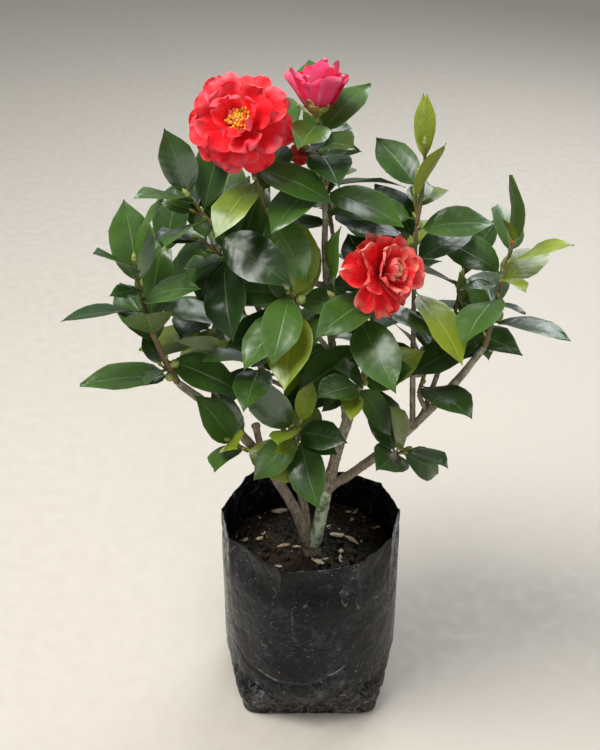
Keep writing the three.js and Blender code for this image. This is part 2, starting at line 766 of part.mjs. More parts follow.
for (const [name, size] of Object.entries(massSizes)) {
  const twigs = twigsOf[name];
  const leaves = growLeaves(name, size, twigs, space);
  const ends = size.flower ? flowerPieces(size.flower, twigs[0]) : [budGeometry(twigs[0])];
  const tubes = twigs.map((twig) => tube(twig, 5, Math.max(2, Math.round(twig.length / 34))));
  const solid = joined([...tubes, ...leaves.map(leafGeometry), ...ends]);
  const bough = toSolid(limbTube(limbs[size.bough], gap));
  add(name, toGeometry(mainBody(solid.subtract(bough))), finishes.foliage);
}

export default shrub;
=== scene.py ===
import math

import bpy
import numpy as np
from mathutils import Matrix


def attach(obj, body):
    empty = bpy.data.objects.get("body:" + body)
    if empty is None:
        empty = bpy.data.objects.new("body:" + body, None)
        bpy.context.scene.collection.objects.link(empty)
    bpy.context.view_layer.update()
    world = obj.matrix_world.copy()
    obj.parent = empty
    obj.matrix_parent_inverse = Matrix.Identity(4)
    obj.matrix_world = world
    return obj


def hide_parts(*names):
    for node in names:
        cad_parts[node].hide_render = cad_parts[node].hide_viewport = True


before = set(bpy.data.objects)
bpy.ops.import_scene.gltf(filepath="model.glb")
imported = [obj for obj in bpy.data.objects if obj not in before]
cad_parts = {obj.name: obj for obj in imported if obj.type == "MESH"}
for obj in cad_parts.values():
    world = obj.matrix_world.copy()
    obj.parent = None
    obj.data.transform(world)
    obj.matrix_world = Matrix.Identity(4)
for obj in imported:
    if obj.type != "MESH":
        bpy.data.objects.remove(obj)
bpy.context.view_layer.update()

# A camellia shrub in a black grow bag. It grows by the same rule as its solids, and is then dressed
# with finer leaves, petals, bark, film and soil. Sizes are in millimetres until a mesh is made.
# A heading is a compass way seen from above, 0 along +X and 90 along +Y; a rise is an angle above
# the level.

foliageNodes = sorted(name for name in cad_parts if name.startswith("foliage_"))
woodNodes = ["trunk"] + sorted(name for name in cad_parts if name.startswith("bough_"))
print("frame:", len(foliageNodes), "foliage masses,", len(woodNodes), "limbs")


# arithmetic, for single angles in radians and for whole arrays

def along(heading, rise):
    # the way in which a heading and a rise point; the next two are square to it
    return np.stack([np.cos(rise) * np.cos(heading), np.cos(rise) * np.sin(heading), np.sin(rise)], -1)

def sideways(heading):
    return np.stack([-np.sin(heading), np.cos(heading), 0 * heading], -1)

def upward(heading, rise):
    return np.stack([-np.sin(rise) * np.cos(heading), -np.sin(rise) * np.sin(heading), np.cos(rise)], -1)

def unit(vectors):
    return vectors / np.linalg.norm(vectors, axis=-1, keepdims=True)

def smoothStep(value, low, high):
    # 0 at low and 1 at high, level at both: three squares less two cubes of the share between
    share = np.clip((value - low) / (high - low), 0, 1)
    return share * share * (3 - 2 * share)

def hill(value, middle, width):
    # 1 at the middle, and about a third at one width from it
    return np.exp(-((value - middle) / width) ** 2)

def awayFrom(degrees, heading):
    # how far round a compass way lies from a heading, -180 to 180
    return (degrees - heading + 180) % 360 - 180

def compassOf(way):
    # the heading and rise of a way, in degrees
    return math.degrees(math.atan2(way[1], way[0])), math.degrees(math.asin(way[2]))

rippleWaves = 9
slantWay = np.array([0.31, 0.22, 0.1])  # a way in which no stem runs, to set off rings from

def ripple(first, second, seed, low, high):
    # sum of seeded waves that cross the plane of two coordinates in all directions, about -1 to 1
    dice = np.random.default_rng(seed)
    total = 0 * (first + second)
    for turn, phase, pitch in dice.uniform(size=(rippleWaves, 3)):
        pitch = low + (high - low) * pitch
        way = 2 * np.pi * turn
        total = total + np.sin(pitch * (np.cos(way) * first + np.sin(way) * second) + 2 * np.pi * phase)
    return total * math.sqrt(2 / rippleWaves) * 0.7


# meshes

def tubes(rings, maps=None, slots=0, mark=0.0, paired=False):
    # Closed bodies from rings of points, as bodies x rows x sides x 3. The rings run anticlockwise
    # about the way in which the rows go, and a flat face closes each end. In a thin paired ring every
    # point of the upper face lies over one of the lower face: both are then split along the same
    # diagonals, and a strip of small faces closes each end.
    bodies, rows, sides = rings.shape[:3]
    body = np.arange(bodies)[:, None, None] * rows * sides
    row = np.arange(rows - 1)[None, :, None] * sides
    side = np.arange(sides)[None, None, :]
    after = (side + 1) % sides
    base = body + row
    quads = np.stack([base + side, base + after, base + sides + after, base + sides + side], -1)
    half = sides // 2
    caps = [np.arange(sides)[None]]
    if paired:
        quads[:, :, half:] = np.roll(quads[:, :, half:], -1, axis=-1)
        step = np.arange(1, half - 1)
        caps = [np.stack([step, step + 1, sides - step - 1, sides - step], -1),
                np.array([[0, 1, sides - 1], [half - 1, half, half + 1]])]
    faces = [quads.reshape(-1, 4)]
    quadSlots = np.broadcast_to(np.asarray(slots), (bodies, rows - 1, sides)).reshape(bodies, -1)
    faceSlots = [quadSlots.reshape(-1)]
    for cap in caps:
        last = cap[None] + body + (rows - 1) * sides
        faces += [(cap[:, ::-1][None] + body).reshape(-1, cap.shape[1]), last.reshape(-1, cap.shape[1])]
        faceSlots += [np.repeat(quadSlots[:, 0], len(cap))] * 2
    marks = np.broadcast_to(np.asarray(mark, float).reshape(-1, 1, 1), (bodies, rows, sides))
    return {
        "points": rings.reshape(-1, 3),
        "faces": faces,
        "slots": np.concatenate(faceSlots),
        "maps": np.zeros((bodies * rows * sides, 2)) if maps is None else maps.reshape(-1, 2),
        "marks": marks.reshape(-1),
    }

def sweep(middles, radii, sides, across=slantWay, way=None):
    # rings of a given radius, rows or rows x sides, carried along a path of middles; they stand
    # square to the path, or to one way
    way = unit(np.gradient(middles, axis=0)) if way is None else np.tile(way, (len(middles), 1))
    flat = unit(np.cross(way, across))
    other = np.cross(way, flat)
    angle = np.linspace(0, 2 * np.pi, sides, endpoint=False)
    spokes = flat[:, None] * np.cos(angle)[None, :, None] + other[:, None] * np.sin(angle)[None, :, None]
    radii = np.broadcast_to(np.asarray(radii, float).reshape(len(middles), -1), (len(middles), sides))
    return middles[:, None] + spokes * radii[:, :, None]

def levelRings(radius, angle, high):
    # rings about the upright axis, from radii and heights at each angle
    return np.stack(np.broadcast_arrays(radius * np.cos(angle), radius * np.sin(angle), high), -1)

def makePiece(name, bodies, materials, replaced=(), sharp=None):
    offsets = np.cumsum([0] + [len(body["points"]) for body in bodies])
    points = np.concatenate([body["points"] for body in bodies]) / 1000
    faces = []
    slots = []
    for body, offset in zip(bodies, offsets):
        for group in body["faces"]:
            faces += (group + offset).tolist()
        slots.append(body["slots"])
    mesh = bpy.data.meshes.new(name)
    mesh.from_pydata(points.tolist(), [], faces)
    mesh.polygons.foreach_set("material_index", np.concatenate(slots).astype(np.int32))
    mesh.polygons.foreach_set("use_smooth", np.ones(len(faces), bool))
    corners = np.zeros(len(mesh.loops), np.int32)
    mesh.loops.foreach_get("vertex_index", corners)
    maps = np.concatenate([body["maps"] for body in bodies])[corners]
    mesh.uv_layers.new(name="surface").data.foreach_set("uv", maps.astype(np.float32).ravel())
    marks = np.concatenate([body["marks"] for body in bodies]).astype(np.float32)
    mesh.attributes.new("mark", "FLOAT", "POINT").data.foreach_set("value", marks)
    if sharp:
        mesh.set_sharp_from_angle(angle=math.radians(sharp))
    for material in materials:
        mesh.materials.append(material)
    mesh.update()
    piece = bpy.data.objects.new(name, mesh)
    bpy.context.scene.collection.objects.link(piece)
    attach(piece, "root")
    if replaced:
        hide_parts(*replaced)
    print("piece:", name, len(faces), "faces")


# materials

class Finish:
    # one Principled material, with short ways to add nodes; fixed values go on its own sockets

    def __init__(self, name, **fixed):
        self.material = bpy.data.materials.new(name)
        self.material.use_nodes = True
        self.tree = self.material.node_tree
        self.shader = self.tree.nodes["Principled BSDF"]
        for socket, value in fixed.items():
            self.shader.inputs[socket.replace("_", " ")].default_value = value
        self.place = self.node("TexCoord").outputs["Object"]
        surface = self.node("SeparateXYZ", {0: self.node("UVMap", uv_map="surface").outputs[0]})
        self.across = surface.outputs[0]
        self.down = surface.outputs[1]
        self.mark = self.node("Attribute", attribute_name="mark").outputs["Fac"]

    def node(self, kind, feeds=None, **values):
        made = self.tree.nodes.new("ShaderNode" + kind)
        for key, value in values.items():
            setattr(made, key, value)
        for socket, feed in (feeds or {}).items():
            self.feed(feed, made.inputs[socket])
        return made

    def feed(self, value, socket):
        if isinstance(value, bpy.types.NodeSocket):
            self.tree.links.new(value, socket)
        else:
            socket.default_value = value

    def maths(self, operation, first, second=0.0, third=0.0):
        feeds = {0: first, 1: second, 2: third}
        return self.node("Math", feeds, operation=operation.upper()).outputs[0]

    def times(self, first, second):
        return self.maths("multiply", first, second)

    def noise(self, scale, detail, roughness=0.55, warp=0.0, place=None):
        feeds = {"Vector": place or self.place, "Scale": scale, "Detail": detail,
                 "Roughness": roughness, "Distortion": warp}
        return self.node("TexNoise", feeds).outputs["Fac"]

    def stretched(self, sizes):
        # the object's own coordinates, scaled along each axis
        return self.node("Mapping", {"Vector": self.place, "Scale": sizes}).outputs[0]

    def moved(self, by):
        return self.node("Mapping", {"Vector": self.place, "Location": by}).outputs[0]

    def between(self, value, low, high, bottom=0.0, top=1.0):
        feeds = {"Value": value, "From Min": low, "From Max": high, "To Min": bottom, "To Max": top}
        return self.node("MapRange", feeds, interpolation_type="SMOOTHSTEP").outputs[0]

    def mix(self, share, first, second):
        def paint(colour):
            return colour if isinstance(colour, bpy.types.NodeSocket) else (*colour, 1)
        feeds = {0: share, 6: paint(first), 7: paint(second)}
        return self.node("Mix", feeds, data_type="RGBA").outputs[2]

    def colour(self, value):
        self.feed(value, self.shader.inputs["Base Color"])

    def roughness(self, value):
        self.feed(value, self.shader.inputs["Roughness"])

    def relief(self, height, depth):
        # a bump whose full height is depth, in millimetres
        feeds = {"Height": height, "Distance": depth / 1000, "Strength": 1.0}
        self.feed(self.node("Bump", feeds).outputs[0], self.shader.inputs["Normal"])


# the wood: every bough starts on an earlier limb, at a share of its length

def limbSize(on, at, heading, rise, length, foot, tip, turn=0, lift=0):
    return dict(on=on, at=at, heading=heading, rise=rise, length=length, foot=foot, tip=tip,
                turn=turn, lift=lift)

limbSizes = {
    "trunk": limbSize(None, 0, 200, 86, 25, 8, 9.2),
    "bough_left": limbSize("trunk", 0.8, 195, 76, 208, 4.9, 3.2, turn=-10, lift=-33),
    "bough_stub": limbSize("bough_left", 0.46, 195, 76, 42, 3.2, 2.9, lift=8),
    "bough_left_low": limbSize("bough_left", 0.56, 255, 25, 14, 2.4, 2),
    "bough_side_left": limbSize("bough_left", 0.62, 120, 50, 60, 2.4, 1.8),
    "bough_middle": limbSize("trunk", 0.8, 350, 82, 136, 6.2, 4, turn=20, lift=-6),
    "bough_front": limbSize("bough_middle", 0.45, 225, 42, 75, 2.6, 2, lift=45),
    "bough_right": limbSize("bough_middle", 0.42, 345, 42, 196, 4.4, 2.8, turn=20, lift=18),
    "bough_right_low": limbSize("bough_right", 0.33, 300, 15, 14, 2.2, 1.9),
    "bough_right_inner": limbSize("bough_right", 0.62, 160, 50, 18, 2.2, 1.9, lift=20),
    "bough_right_up": limbSize("bough_right", 0.52, 110, 84, 115, 2.6, 1.8),
    "bough_side_right": limbSize("bough_right", 0.58, 60, 45, 70, 2.4, 1.8),
    "bough_centre": limbSize("bough_middle", 0.98, 325, 70, 70, 3.2, 2.2, lift=10),
    "bough_leader": limbSize("bough_middle", 0.98, 160, 74, 190, 3.6, 2.2, turn=-60, lift=14),
    "bough_mid_right": limbSize("bough_leader", 0.12, 290, 40, 26, 2.2, 1.8),
    "bough_mid_left": limbSize("bough_leader", 0.3, 220, 55, 55, 2.4, 1.8),
    "bough_top_left": limbSize("bough_leader", 0.62, 190, 24, 92, 2.6, 1.8, lift=14),
    "bough_bloom": limbSize("bough_top_left", 0.45, 200, 76, 44, 2, 1.7, lift=8),
    "bough_back": limbSize("trunk", 0.85, 130, 78, 185, 4.2, 2.8, turn=30, lift=8),
    "bough_upper_left": limbSize("bough_back", 0.98, 185, 60, 84, 2.8, 1.8, lift=16),
    "bough_mid_back": limbSize("bough_back", 0.8, 230, 40, 26, 2.2, 1.8),
    "bough_rear_left": limbSize("bough_back", 0.4, 125, 45, 105, 2.8, 2, lift=15),
    "bough_rear_right": limbSize("bough_middle", 0.6, 60, 42, 115, 2.8, 2, lift=20),
    "bough_rear_top": limbSize("bough_leader", 0.5, 85, 50, 64, 2.2, 1.8, lift=10),
    "bough_rear_low": limbSize("bough_back", 0.25, 95, 35, 80, 2.4, 1.8, lift=10),
}
trunkPlace = {"foot": (2, 0, 143), "ground": 143.3, "flare": 7, "flareWidth": 2, "forkOffset": 5}


# the foliage masses: each is a stem that goes on from its bough's tip, with leaves and side twigs

def massSize(bough, heading, rise, length, leaves, leaf, seed, lift=0, twigs=(), flower=None):
    return dict(bough=bough, heading=heading, rise=rise, length=length, leaves=leaves, leaf=leaf,
                seed=seed, lift=lift, twigs=twigs, flower=flower)

def sideTwig(at, facing, spread, length, leaves, young=False):
    return dict(at=at, facing=facing, spread=spread, length=length, leaves=leaves, young=young)

def flowerSize(form, radius, heading, rise):
    return dict(form=form, radius=radius, heading=math.radians(heading), rise=math.radians(rise))

massSizes = {
    "foliage_left": massSize("bough_left", 188, 66, 112, 10, 70, 2188, lift=22,
                             twigs=[sideTwig(0.5, 60, 50, 56, 3)]),
    "foliage_left_low": massSize("bough_left_low", 225, 45, 26, 6, 60, 1154),
    "foliage_upper_left": massSize("bough_upper_left", 200, 45, 46, 8, 68, 1749),
    "foliage_top_left": massSize("bough_top_left", 188, 56, 44, 7, 66, 2195),
    "foliage_bloom": massSize("bough_bloom", 188, 72.5, 76, 7, 62, 1123, lift=6,
                              flower=flowerSize("open", 36, 262, 38)),
    "foliage_top": massSize("bough_leader", 145, 84, 74, 9, 66, 417,
                            twigs=[sideTwig(0.45, 200, 50, 44, 3)],
                            flower=flowerSize("opening", 18, 80, 80)),
    "foliage_right_up": massSize("bough_right_up", 100, 86, 98, 11, 66, 638,
                                 twigs=[sideTwig(0.62, 0, 10, 62, 3, young=True)]),
    "foliage_right_tip": massSize("bough_right", 50, 72, 84, 9, 68, 1191),
    "foliage_right_inner": massSize("bough_right_inner", 60, 55, 44, 7, 64, 173),
    "foliage_right_low": massSize("bough_right_low", 310, 45, 24, 5, 62, 392),
    "foliage_centre": massSize("bough_centre", 282, 80.5, 79, 8, 64, 1739,
                               twigs=[sideTwig(0.4, 190, 55, 42, 3)],
                               flower=flowerSize("open", 33, 320, 30)),
    "foliage_mid_right": massSize("bough_mid_right", 290, 40, 32, 6, 60, 738),
    "foliage_mid_left": massSize("bough_mid_left", 235, 60, 44, 8, 66, 332),
    "foliage_front": massSize("bough_front", 245, 50, 26, 6, 60, 39),
    "foliage_side_left": massSize("bough_side_left", 150, 72, 58, 8, 64, 498),
    "foliage_mid_back": massSize("bough_mid_back", 230, 60, 34, 7, 60, 847),
    "foliage_side_right": massSize("bough_side_right", 70, 60, 50, 7, 66, 83),
    "foliage_rear_top": massSize("bough_rear_top", 110, 66, 62, 9, 66, 273),
    "foliage_rear_left": massSize("bough_rear_left", 125, 60, 80, 9, 66, 65, lift=10,
                                  twigs=[sideTwig(0.5, 100, 50, 48, 3)]),
    "foliage_rear_right": massSize("bough_rear_right", 60, 62, 80, 9, 66, 415, lift=10,
                                   twigs=[sideTwig(0.5, 120, 50, 48, 3)]),
    "foliage_rear_low": massSize("bough_rear_low", 95, 35, 50, 8, 64, 215, lift=20),
}
growth = {
    "firstOnStem": 7, "firstOnTwig": 14, "last": 0.985, "crowding": 0.85,
    "turn": 137.5, "turnSpread": 24, "lean": 78, "leanFall": 42, "leanSpread": 24,
    "shrink": 0.14, "lengthSpread": 0.1, "droop": 0.2, "droopSpread": 0.4, "rollSpread": 22,
    "endLean": 15, "endSway": 0.4, "endDroop": 0.05,  # the last leaf goes on in its stem's way
    "retryTurns": [0, 14, -14, 28, -28, 42, -42, 60, -60], "retryLeans": [0, -14, 14],
}
youngGrowth = {"first": 0.8, "lean": 14, "leanRise": 8, "size": 0.68}
leafForm = {
    "width": 0.5, "youngWidth": 0.3,  # as shares of the length
    "stalk": 0.09, "stalkHalf": 0.6, "fold": 0.28, "arch": 0.11, "archByDroop": 0.22,
    "faceStem": 0.55, "faceUp": np.array([0, -0.12, 0.6]),  # what the upper face turns to
    "belly": 0.82, "blunt": 0.8,  # powers that set where it is widest and how full its ends are
    "pointed": 0.28, "pointFrom": 0.7, "pointOver": 0.3,  # how the last third is drawn in
}
stemForm = {"foot": 0.92, "tip": 1.1, "twigFoot": 1.5, "twigTip": 1, "twigLift": 15}
keepClear = {  # the room that a leaf needs, in millimetres or as shares of its length
    "pointEvery": 5, "reachOfLimb": 60, "limb": 2.2, "limbFace": 1.8, "limbEdge": 1, "ownStalk": 0.35,
    "reachOfLeaf": 80, "face": 3.4, "edge": 1.5, "ownRoot": 0.24, "root": -0.02, "tip": 1.03,
    "flower": 2, "ownFlower": 0.86, "flowerHeight": 0.5, "flowerLift": {"open": 0.3, "opening": 0.9},
}
limbSteps = 16

class Limb:
    # a bough or twig: even steps, over which its heading turns and its rise lifts evenly

    def __init__(self, start, heading, rise, length, foot, tip, turn=0, lift=0):
        self.heading, self.rise = math.radians(heading), math.radians(rise)
        self.turn, self.lift = math.radians(turn), math.radians(lift)
        self.length, self.foot, self.tip = length, foot, tip
        share = (np.arange(limbSteps) + 0.5) / limbSteps
        steps = along(self.heading + self.turn * share, self.rise + self.lift * share) * length / limbSteps
        self.path = np.concatenate([[start], start + np.cumsum(steps, 0)])

    def at(self, share):
        share = np.asarray(share, float)
        place = np.clip(share, 0, 1) * limbSteps
        step = np.minimum(place.astype(int), limbSteps - 1)
        part = (place - step)[..., None]
        return self.path[step] * (1 - part) + self.path[step + 1] * part

    def frame(self, share):
        heading = self.heading + self.turn * share
        rise = self.rise + self.lift * share
        return along(heading, rise), sideways(heading), upward(heading, rise)

    def radius(self, share):
        return self.foot + (self.tip - self.foot) * share

class Dice:
    # the plain generator that the solids use, so that both grow alike

    factor, step, span = 1664525, 1013904223, 2 ** 32
    seedFactor, seedStep, firstThrows = 7919, 17, 3

    def __init__(self, seed):
        self.state = seed * self.seedFactor + self.seedStep
        for _ in range(self.firstThrows):
            self.throw()

    def throw(self):
        self.state = (self.state * self.factor + self.step) % self.span
        return self.state / self.span

    def spread(self, reach):
        return (self.throw() * 2 - 1) * reach

def leafHalf(share, width):
    # half the blade's width: a leaf outline, widest before its middle, that narrows to a point
    blade = np.clip((share - leafForm["stalk"]) / (1 - leafForm["stalk"]), 0, 1)
    swell = np.sin(np.pi * blade ** leafForm["belly"]) ** leafForm["blunt"]
    point = np.clip((blade - leafForm["pointFrom"]) / leafForm["pointOver"], 0, 1)
    return width / 2 * swell * (1 - leafForm["pointed"] * point)

sampleLines, sampleRows = [-1, -0.5, 0, 0.5, 1], 9
leafShares = np.tile(np.linspace(0, 1, sampleRows), len(sampleLines))
leafAcross = np.repeat(sampleLines, sampleRows)
leafMiddle = len(leafShares) // 2

def leafSamples(leaf):
    # lines of points on the blade, by which room is tested
    half = leafHalf(leafShares, leaf["width"])
    half = np.maximum(half, leafForm["stalkHalf"] * (leafShares < leafForm["stalk"] + 0.02))
    out = (leafShares * leaf["length"])[:, None] * leaf["way"]
    drop = leaf["arch"] * leaf["length"] * leafShares ** 2
    rise = np.abs(leafAcross) * half * leafForm["fold"] - drop
    return leaf["base"] + out + rise[:, None] * leaf["face"] + (leafAcross * half)[:, None] * leaf["side"]

class Space:
    # what already stands: points along the wood, the room of each flower, and the leaves

    def __init__(self):
        self.points, self.radii, self.owners = np.zeros((0, 3)), np.zeros(0), np.zeros(0, int)
        self.flowers = []
        self.leaves = []
        self.samples = np.zeros((0, len(leafShares), 3))

    def addLimb(self, limb, owner):
        shares = np.linspace(0, 1, max(3, int(limb.length / keepClear["pointEvery"])) + 1)
        self.points = np.concatenate([self.points, limb.at(shares)])
        self.radii = np.concatenate([self.radii, limb.radius(shares)])
        self.owners = np.concatenate([self.owners, np.full(len(shares), owner)])

    def addLeaf(self, leaf):
        self.leaves.append(leaf)
        self.samples = np.concatenate([self.samples, leafSamples(leaf)[None]])

    def near(self, leaf, points):
        # each point's share along the blade, its way off the midrib and its height off the surface
        offset = points - leaf["base"]
        share = offset @ leaf["way"] / leaf["length"]
        across = np.abs(offset @ leaf["side"])
        surface = leafForm["fold"] * across - leaf["arch"] * leaf["length"] * share ** 2
        return share, across - leafHalf(share, leaf["width"]), np.abs(offset @ leaf["face"] - surface)

    def clear(self, leaf, owner):
        samples = leafSamples(leaf)
        return not (self.meetsWood(leaf, samples, owner) or self.meetsFlower(samples, owner)
                    or self.meetsLeaf(leaf, samples, owner))

    def meetsWood(self, leaf, samples, owner):
        # whether wood touches a sample or stands through the blade; its own twig may, at the stalk
        away = ((self.points - samples[leafMiddle]) ** 2).sum(-1)
        close = away < keepClear["reachOfLimb"] ** 2
        points, radii, mine = self.points[close], self.radii[close], self.owners[close] == owner
        gaps = ((samples[:, None] - points[None]) ** 2).sum(-1)
        touching = gaps < ((radii + keepClear["limb"]) ** 2)[None]
        touching[leafShares < keepClear["ownStalk"]] &= ~mine[None]
        share, beyond, height = self.near(leaf, points)
        pierced = (share > np.where(mine, keepClear["ownStalk"], 0)) & (share < keepClear["tip"])
        pierced &= (beyond < keepClear["limbEdge"] + radii) & (height < radii + keepClear["limbFace"])
        return touching.any() or pierced.any()

    def meetsFlower(self, samples, owner):
        # whether a sample lies in a flower's room, a flattened ball about its axis
        for centre, axis, radius, flowerOwner in self.flowers:
            mine = flowerOwner == owner
            offset = samples - centre
            high = offset @ axis
            wide = np.sqrt(np.maximum((offset ** 2).sum(-1) - high ** 2, 0))
            room = radius * (keepClear["ownFlower"] if mine else 1)
            gap = 0 if mine else keepClear["flower"]
            inside = (high / (keepClear["flowerHeight"] * room + gap)) ** 2 + (wide / (room + gap)) ** 2 < 1
            if (inside & (leafShares > (keepClear["ownRoot"] if mine else -1))).any():
                return True
        return False

    def meetsLeaf(self, leaf, samples, owner):
        # whether it crosses another leaf that is near enough
        for other, otherSamples in zip(self.leaves, self.samples):
            away = ((otherSamples[leafMiddle] - samples[leafMiddle]) ** 2).sum()
            mine = other["owner"] == owner
            if away < keepClear["reachOfLeaf"] ** 2 and (
                    self.crossed(other, samples, mine) or self.crossed(leaf, otherSamples, mine)):
                return True
        return False

    def crossed(self, leaf, samples, mine):
        # whether another leaf's samples lie close to this one's surface
        share, beyond, height = self.near(leaf, samples)
        hit = (share > keepClear["ownRoot" if mine else "root"]) & (share < keepClear["tip"])
        hit &= (beyond < keepClear["edge"]) & (height < keepClear["face"])
        if mine:
            hit &= leafShares > keepClear["ownRoot"]
        return hit.any()

def leavingWay(twig, share, compass, lean):
    # the way in which a leaf leaves its twig, on a compass bearing about the twig
    way, side, up = twig.frame(share)
    around = math.radians(compass) - (twig.heading + twig.turn * share) - math.pi / 2
    out = side * math.cos(around) + up * math.sin(around)
    return unit(way * math.cos(math.radians(lean)) + out * math.sin(math.radians(lean))), way

def makeLeaf(twig, share, compass, lean, length, width, droop, roll, owner):
    # a leaf as its base, its way, the way its face looks and the way to its side; it droops, and
    # rolls about its own way
    way, stem = leavingWay(twig, share, compass, lean)
    way = unit(way - np.array([0, 0, droop]))
    face = stem * leafForm["faceStem"] + leafForm["faceUp"]
    face = unit(face - way * (face @ way))
    side = np.cross(face, way)
    face = unit(face * math.cos(math.radians(roll)) + side * math.sin(math.radians(roll)))
    arch = leafForm["arch"] + leafForm["archByDroop"] * max(droop, 0)
    return dict(base=twig.at(share), way=way, face=face, side=np.cross(face, way), length=length,
                width=length * width, arch=arch, owner=owner)

def growLimbs():
    # each starts at a share of an earlier limb; those on the trunk start a little off its axis
    limbs = {}
    for name, size in limbSizes.items():
        start = np.array(trunkPlace["foot"], float)
        if size["on"]:
            start = limbs[size["on"]].at(size["at"])
        if size["on"] == "trunk":
            start = start + trunkPlace["forkOffset"] * along(math.radians(size["heading"]), 0.0)
        limbs[name] = Limb(start, size["heading"], size["rise"], size["length"], size["foot"],
                           size["tip"], size["turn"], size["lift"])
    return limbs

def growTwigs(limbs):
    # each mass has a stem that goes on from its bough's tip, and its side twigs
    twigs = {}
    for name, size in massSizes.items():
        bough = limbs[size["bough"]]
        stem = Limb(bough.path[-1], size["heading"], size["rise"], size["length"],
                    bough.tip * stemForm["foot"], stemForm["tip"], lift=size["lift"])
        twigs[name] = [stem]
        for twig in size["twigs"]:
            way, _ = leavingWay(stem, twig["at"], twig["facing"], twig["spread"])
            twigs[name].append(Limb(stem.at(twig["at"]), *compassOf(way), twig["length"],
                                    stemForm["twigFoot"], stemForm["twigTip"], lift=stemForm["twigLift"]))
    return twigs

def growLeaves(name, twigs, space, owner):
    # a spiral of leaves up each twig; each is turned until it is clear, or left out
    size = massSizes[name]
    dice = Dice(size["seed"])
    hand = 1 if dice.throw() < 0.5 else -1
    grown = []
    for order, twig in enumerate(twigs):
        side = size["twigs"][order - 1] if order else None
        young = bool(side and side["young"])
        count = side["leaves"] if side else size["leaves"]
        first = (growth["firstOnTwig"] if side else growth["firstOnStem"]) / twig.length
        facing = dice.throw() * 360
        for number in range(count):
            part = number / max(count - 1, 1)
            share = first + (growth["last"] - first) * part ** growth["crowding"]
            compass = facing + hand * growth["turn"] * number + dice.spread(growth["turnSpread"])
            lean = growth["lean"] - growth["leanFall"] * part + dice.spread(growth["leanSpread"])
            length = size["leaf"] * (1 - growth["shrink"] * part) * (1 + dice.spread(growth["lengthSpread"]))
            droop = growth["droop"] + dice.spread(growth["droopSpread"])
            roll = dice.spread(growth["rollSpread"])
            width = leafForm["width"]
            if number == count - 1 and not (size["flower"] and order == 0):
                lean = growth["endLean"] + growth["endSway"] * (lean - growth["lean"] + growth["leanFall"])
                droop = growth["endDroop"]
            if young:
                share = youngGrowth["first"] + (growth["last"] - youngGrowth["first"]) * part
                lean = youngGrowth["lean"] + youngGrowth["leanRise"] * part
                length *= youngGrowth["size"]
                droop = 0
                width = leafForm["youngWidth"]
            tries = ((turn, more) for turn in growth["retryTurns"] for more in growth["retryLeans"])
            for turn, more in tries:
                leaf = makeLeaf(twig, share, compass + turn, lean + more, length, width, droop, roll, owner)
                if space.clear(leaf, owner):
                    leaf.update(mass=name, twig=twig, share=share, young=young, part=part)
                    space.addLeaf(leaf)
                    grown.append(leaf)
                    break
    return grown

def flowerRoom(name, twigs):
    # the middle, axis and radius of the room that a flower takes at its stem's tip
    size = massSizes[name]["flower"]
    axis = along(size["heading"], size["rise"])
    centre = twigs[0].path[-1] + axis * size["radius"] * keepClear["flowerLift"][size["form"]]
    return centre, axis, size["radius"]

limbs = growLimbs()
twigs = growTwigs(limbs)
space = Space()
for order, limb in enumerate(limbs.values()):
    space.addLimb(limb, -1 - order)
for owner, name in enumerate(massSizes):
    for twig in twigs[name]:
        space.addLimb(twig, owner)
    if massSizes[name]["flower"]:
        space.flowers.append((*flowerRoom(name, twigs[name]), owner))
leaves = []
for owner, name in enumerate(massSizes):
    leaves += growLeaves(name, twigs[name], space, owner)
print("growth:", len(limbs), "limbs,", sum(map(len, twigs.values())), "twigs,", len(leaves), "leaves")


# finer twigs: short spurs in the axils of the leaves, each with small leaves and a bud

spurs = {
    "every": 3, "below": 0.9,  # at every third leaf, but not by the last ones of a stem
    "length": (9, 19), "foot": 1.15, "tip": 0.8, "lift": 12,
    "above": 3.5,  # how far above its leaf a spur starts
    "byStem": 0.7, "byLeaf": 0.55, "sway": 0.25,  # what its way is made of
    "seats": [0.6, 0.97], "lean": [58, 30], "apart": 160, "leaf": (27, 40), "width": 0.47,
    "droop": (-0.15, 0.35), "roll": 20, "retryTurns": [0, 35, -35, 70, -70, 110],
    "clear": 1.6, "ownStalk": 0.12, "leafTip": 1.04, "leafEdge": 1.5, "flowerRoom": 1.35,
}

def blocked(limb, owner):
    # whether a leaf or other wood stands in a spur's way
    points = limb.at(np.linspace(0, 1, 12))
    away = np.sqrt(((space.points[:, None] - points[None]) ** 2).sum(-1)) - space.radii[:, None]
    if (away[space.owners != owner] < spurs["clear"]).any():
        return True
    for leaf in space.leaves:
        share, beyond, height = space.near(leaf, points)
        inside = (share > spurs["ownStalk"]) & (share < spurs["leafTip"]) & (beyond < spurs["leafEdge"])
        if (inside & (height < limb.foot + spurs["clear"])).any():
            return True
    return False

def nearFlower(points):
    return any((np.linalg.norm(points - centre, axis=-1) < spurs["flowerRoom"] * radius).any()
               for centre, _, radius, _ in space.flowers)

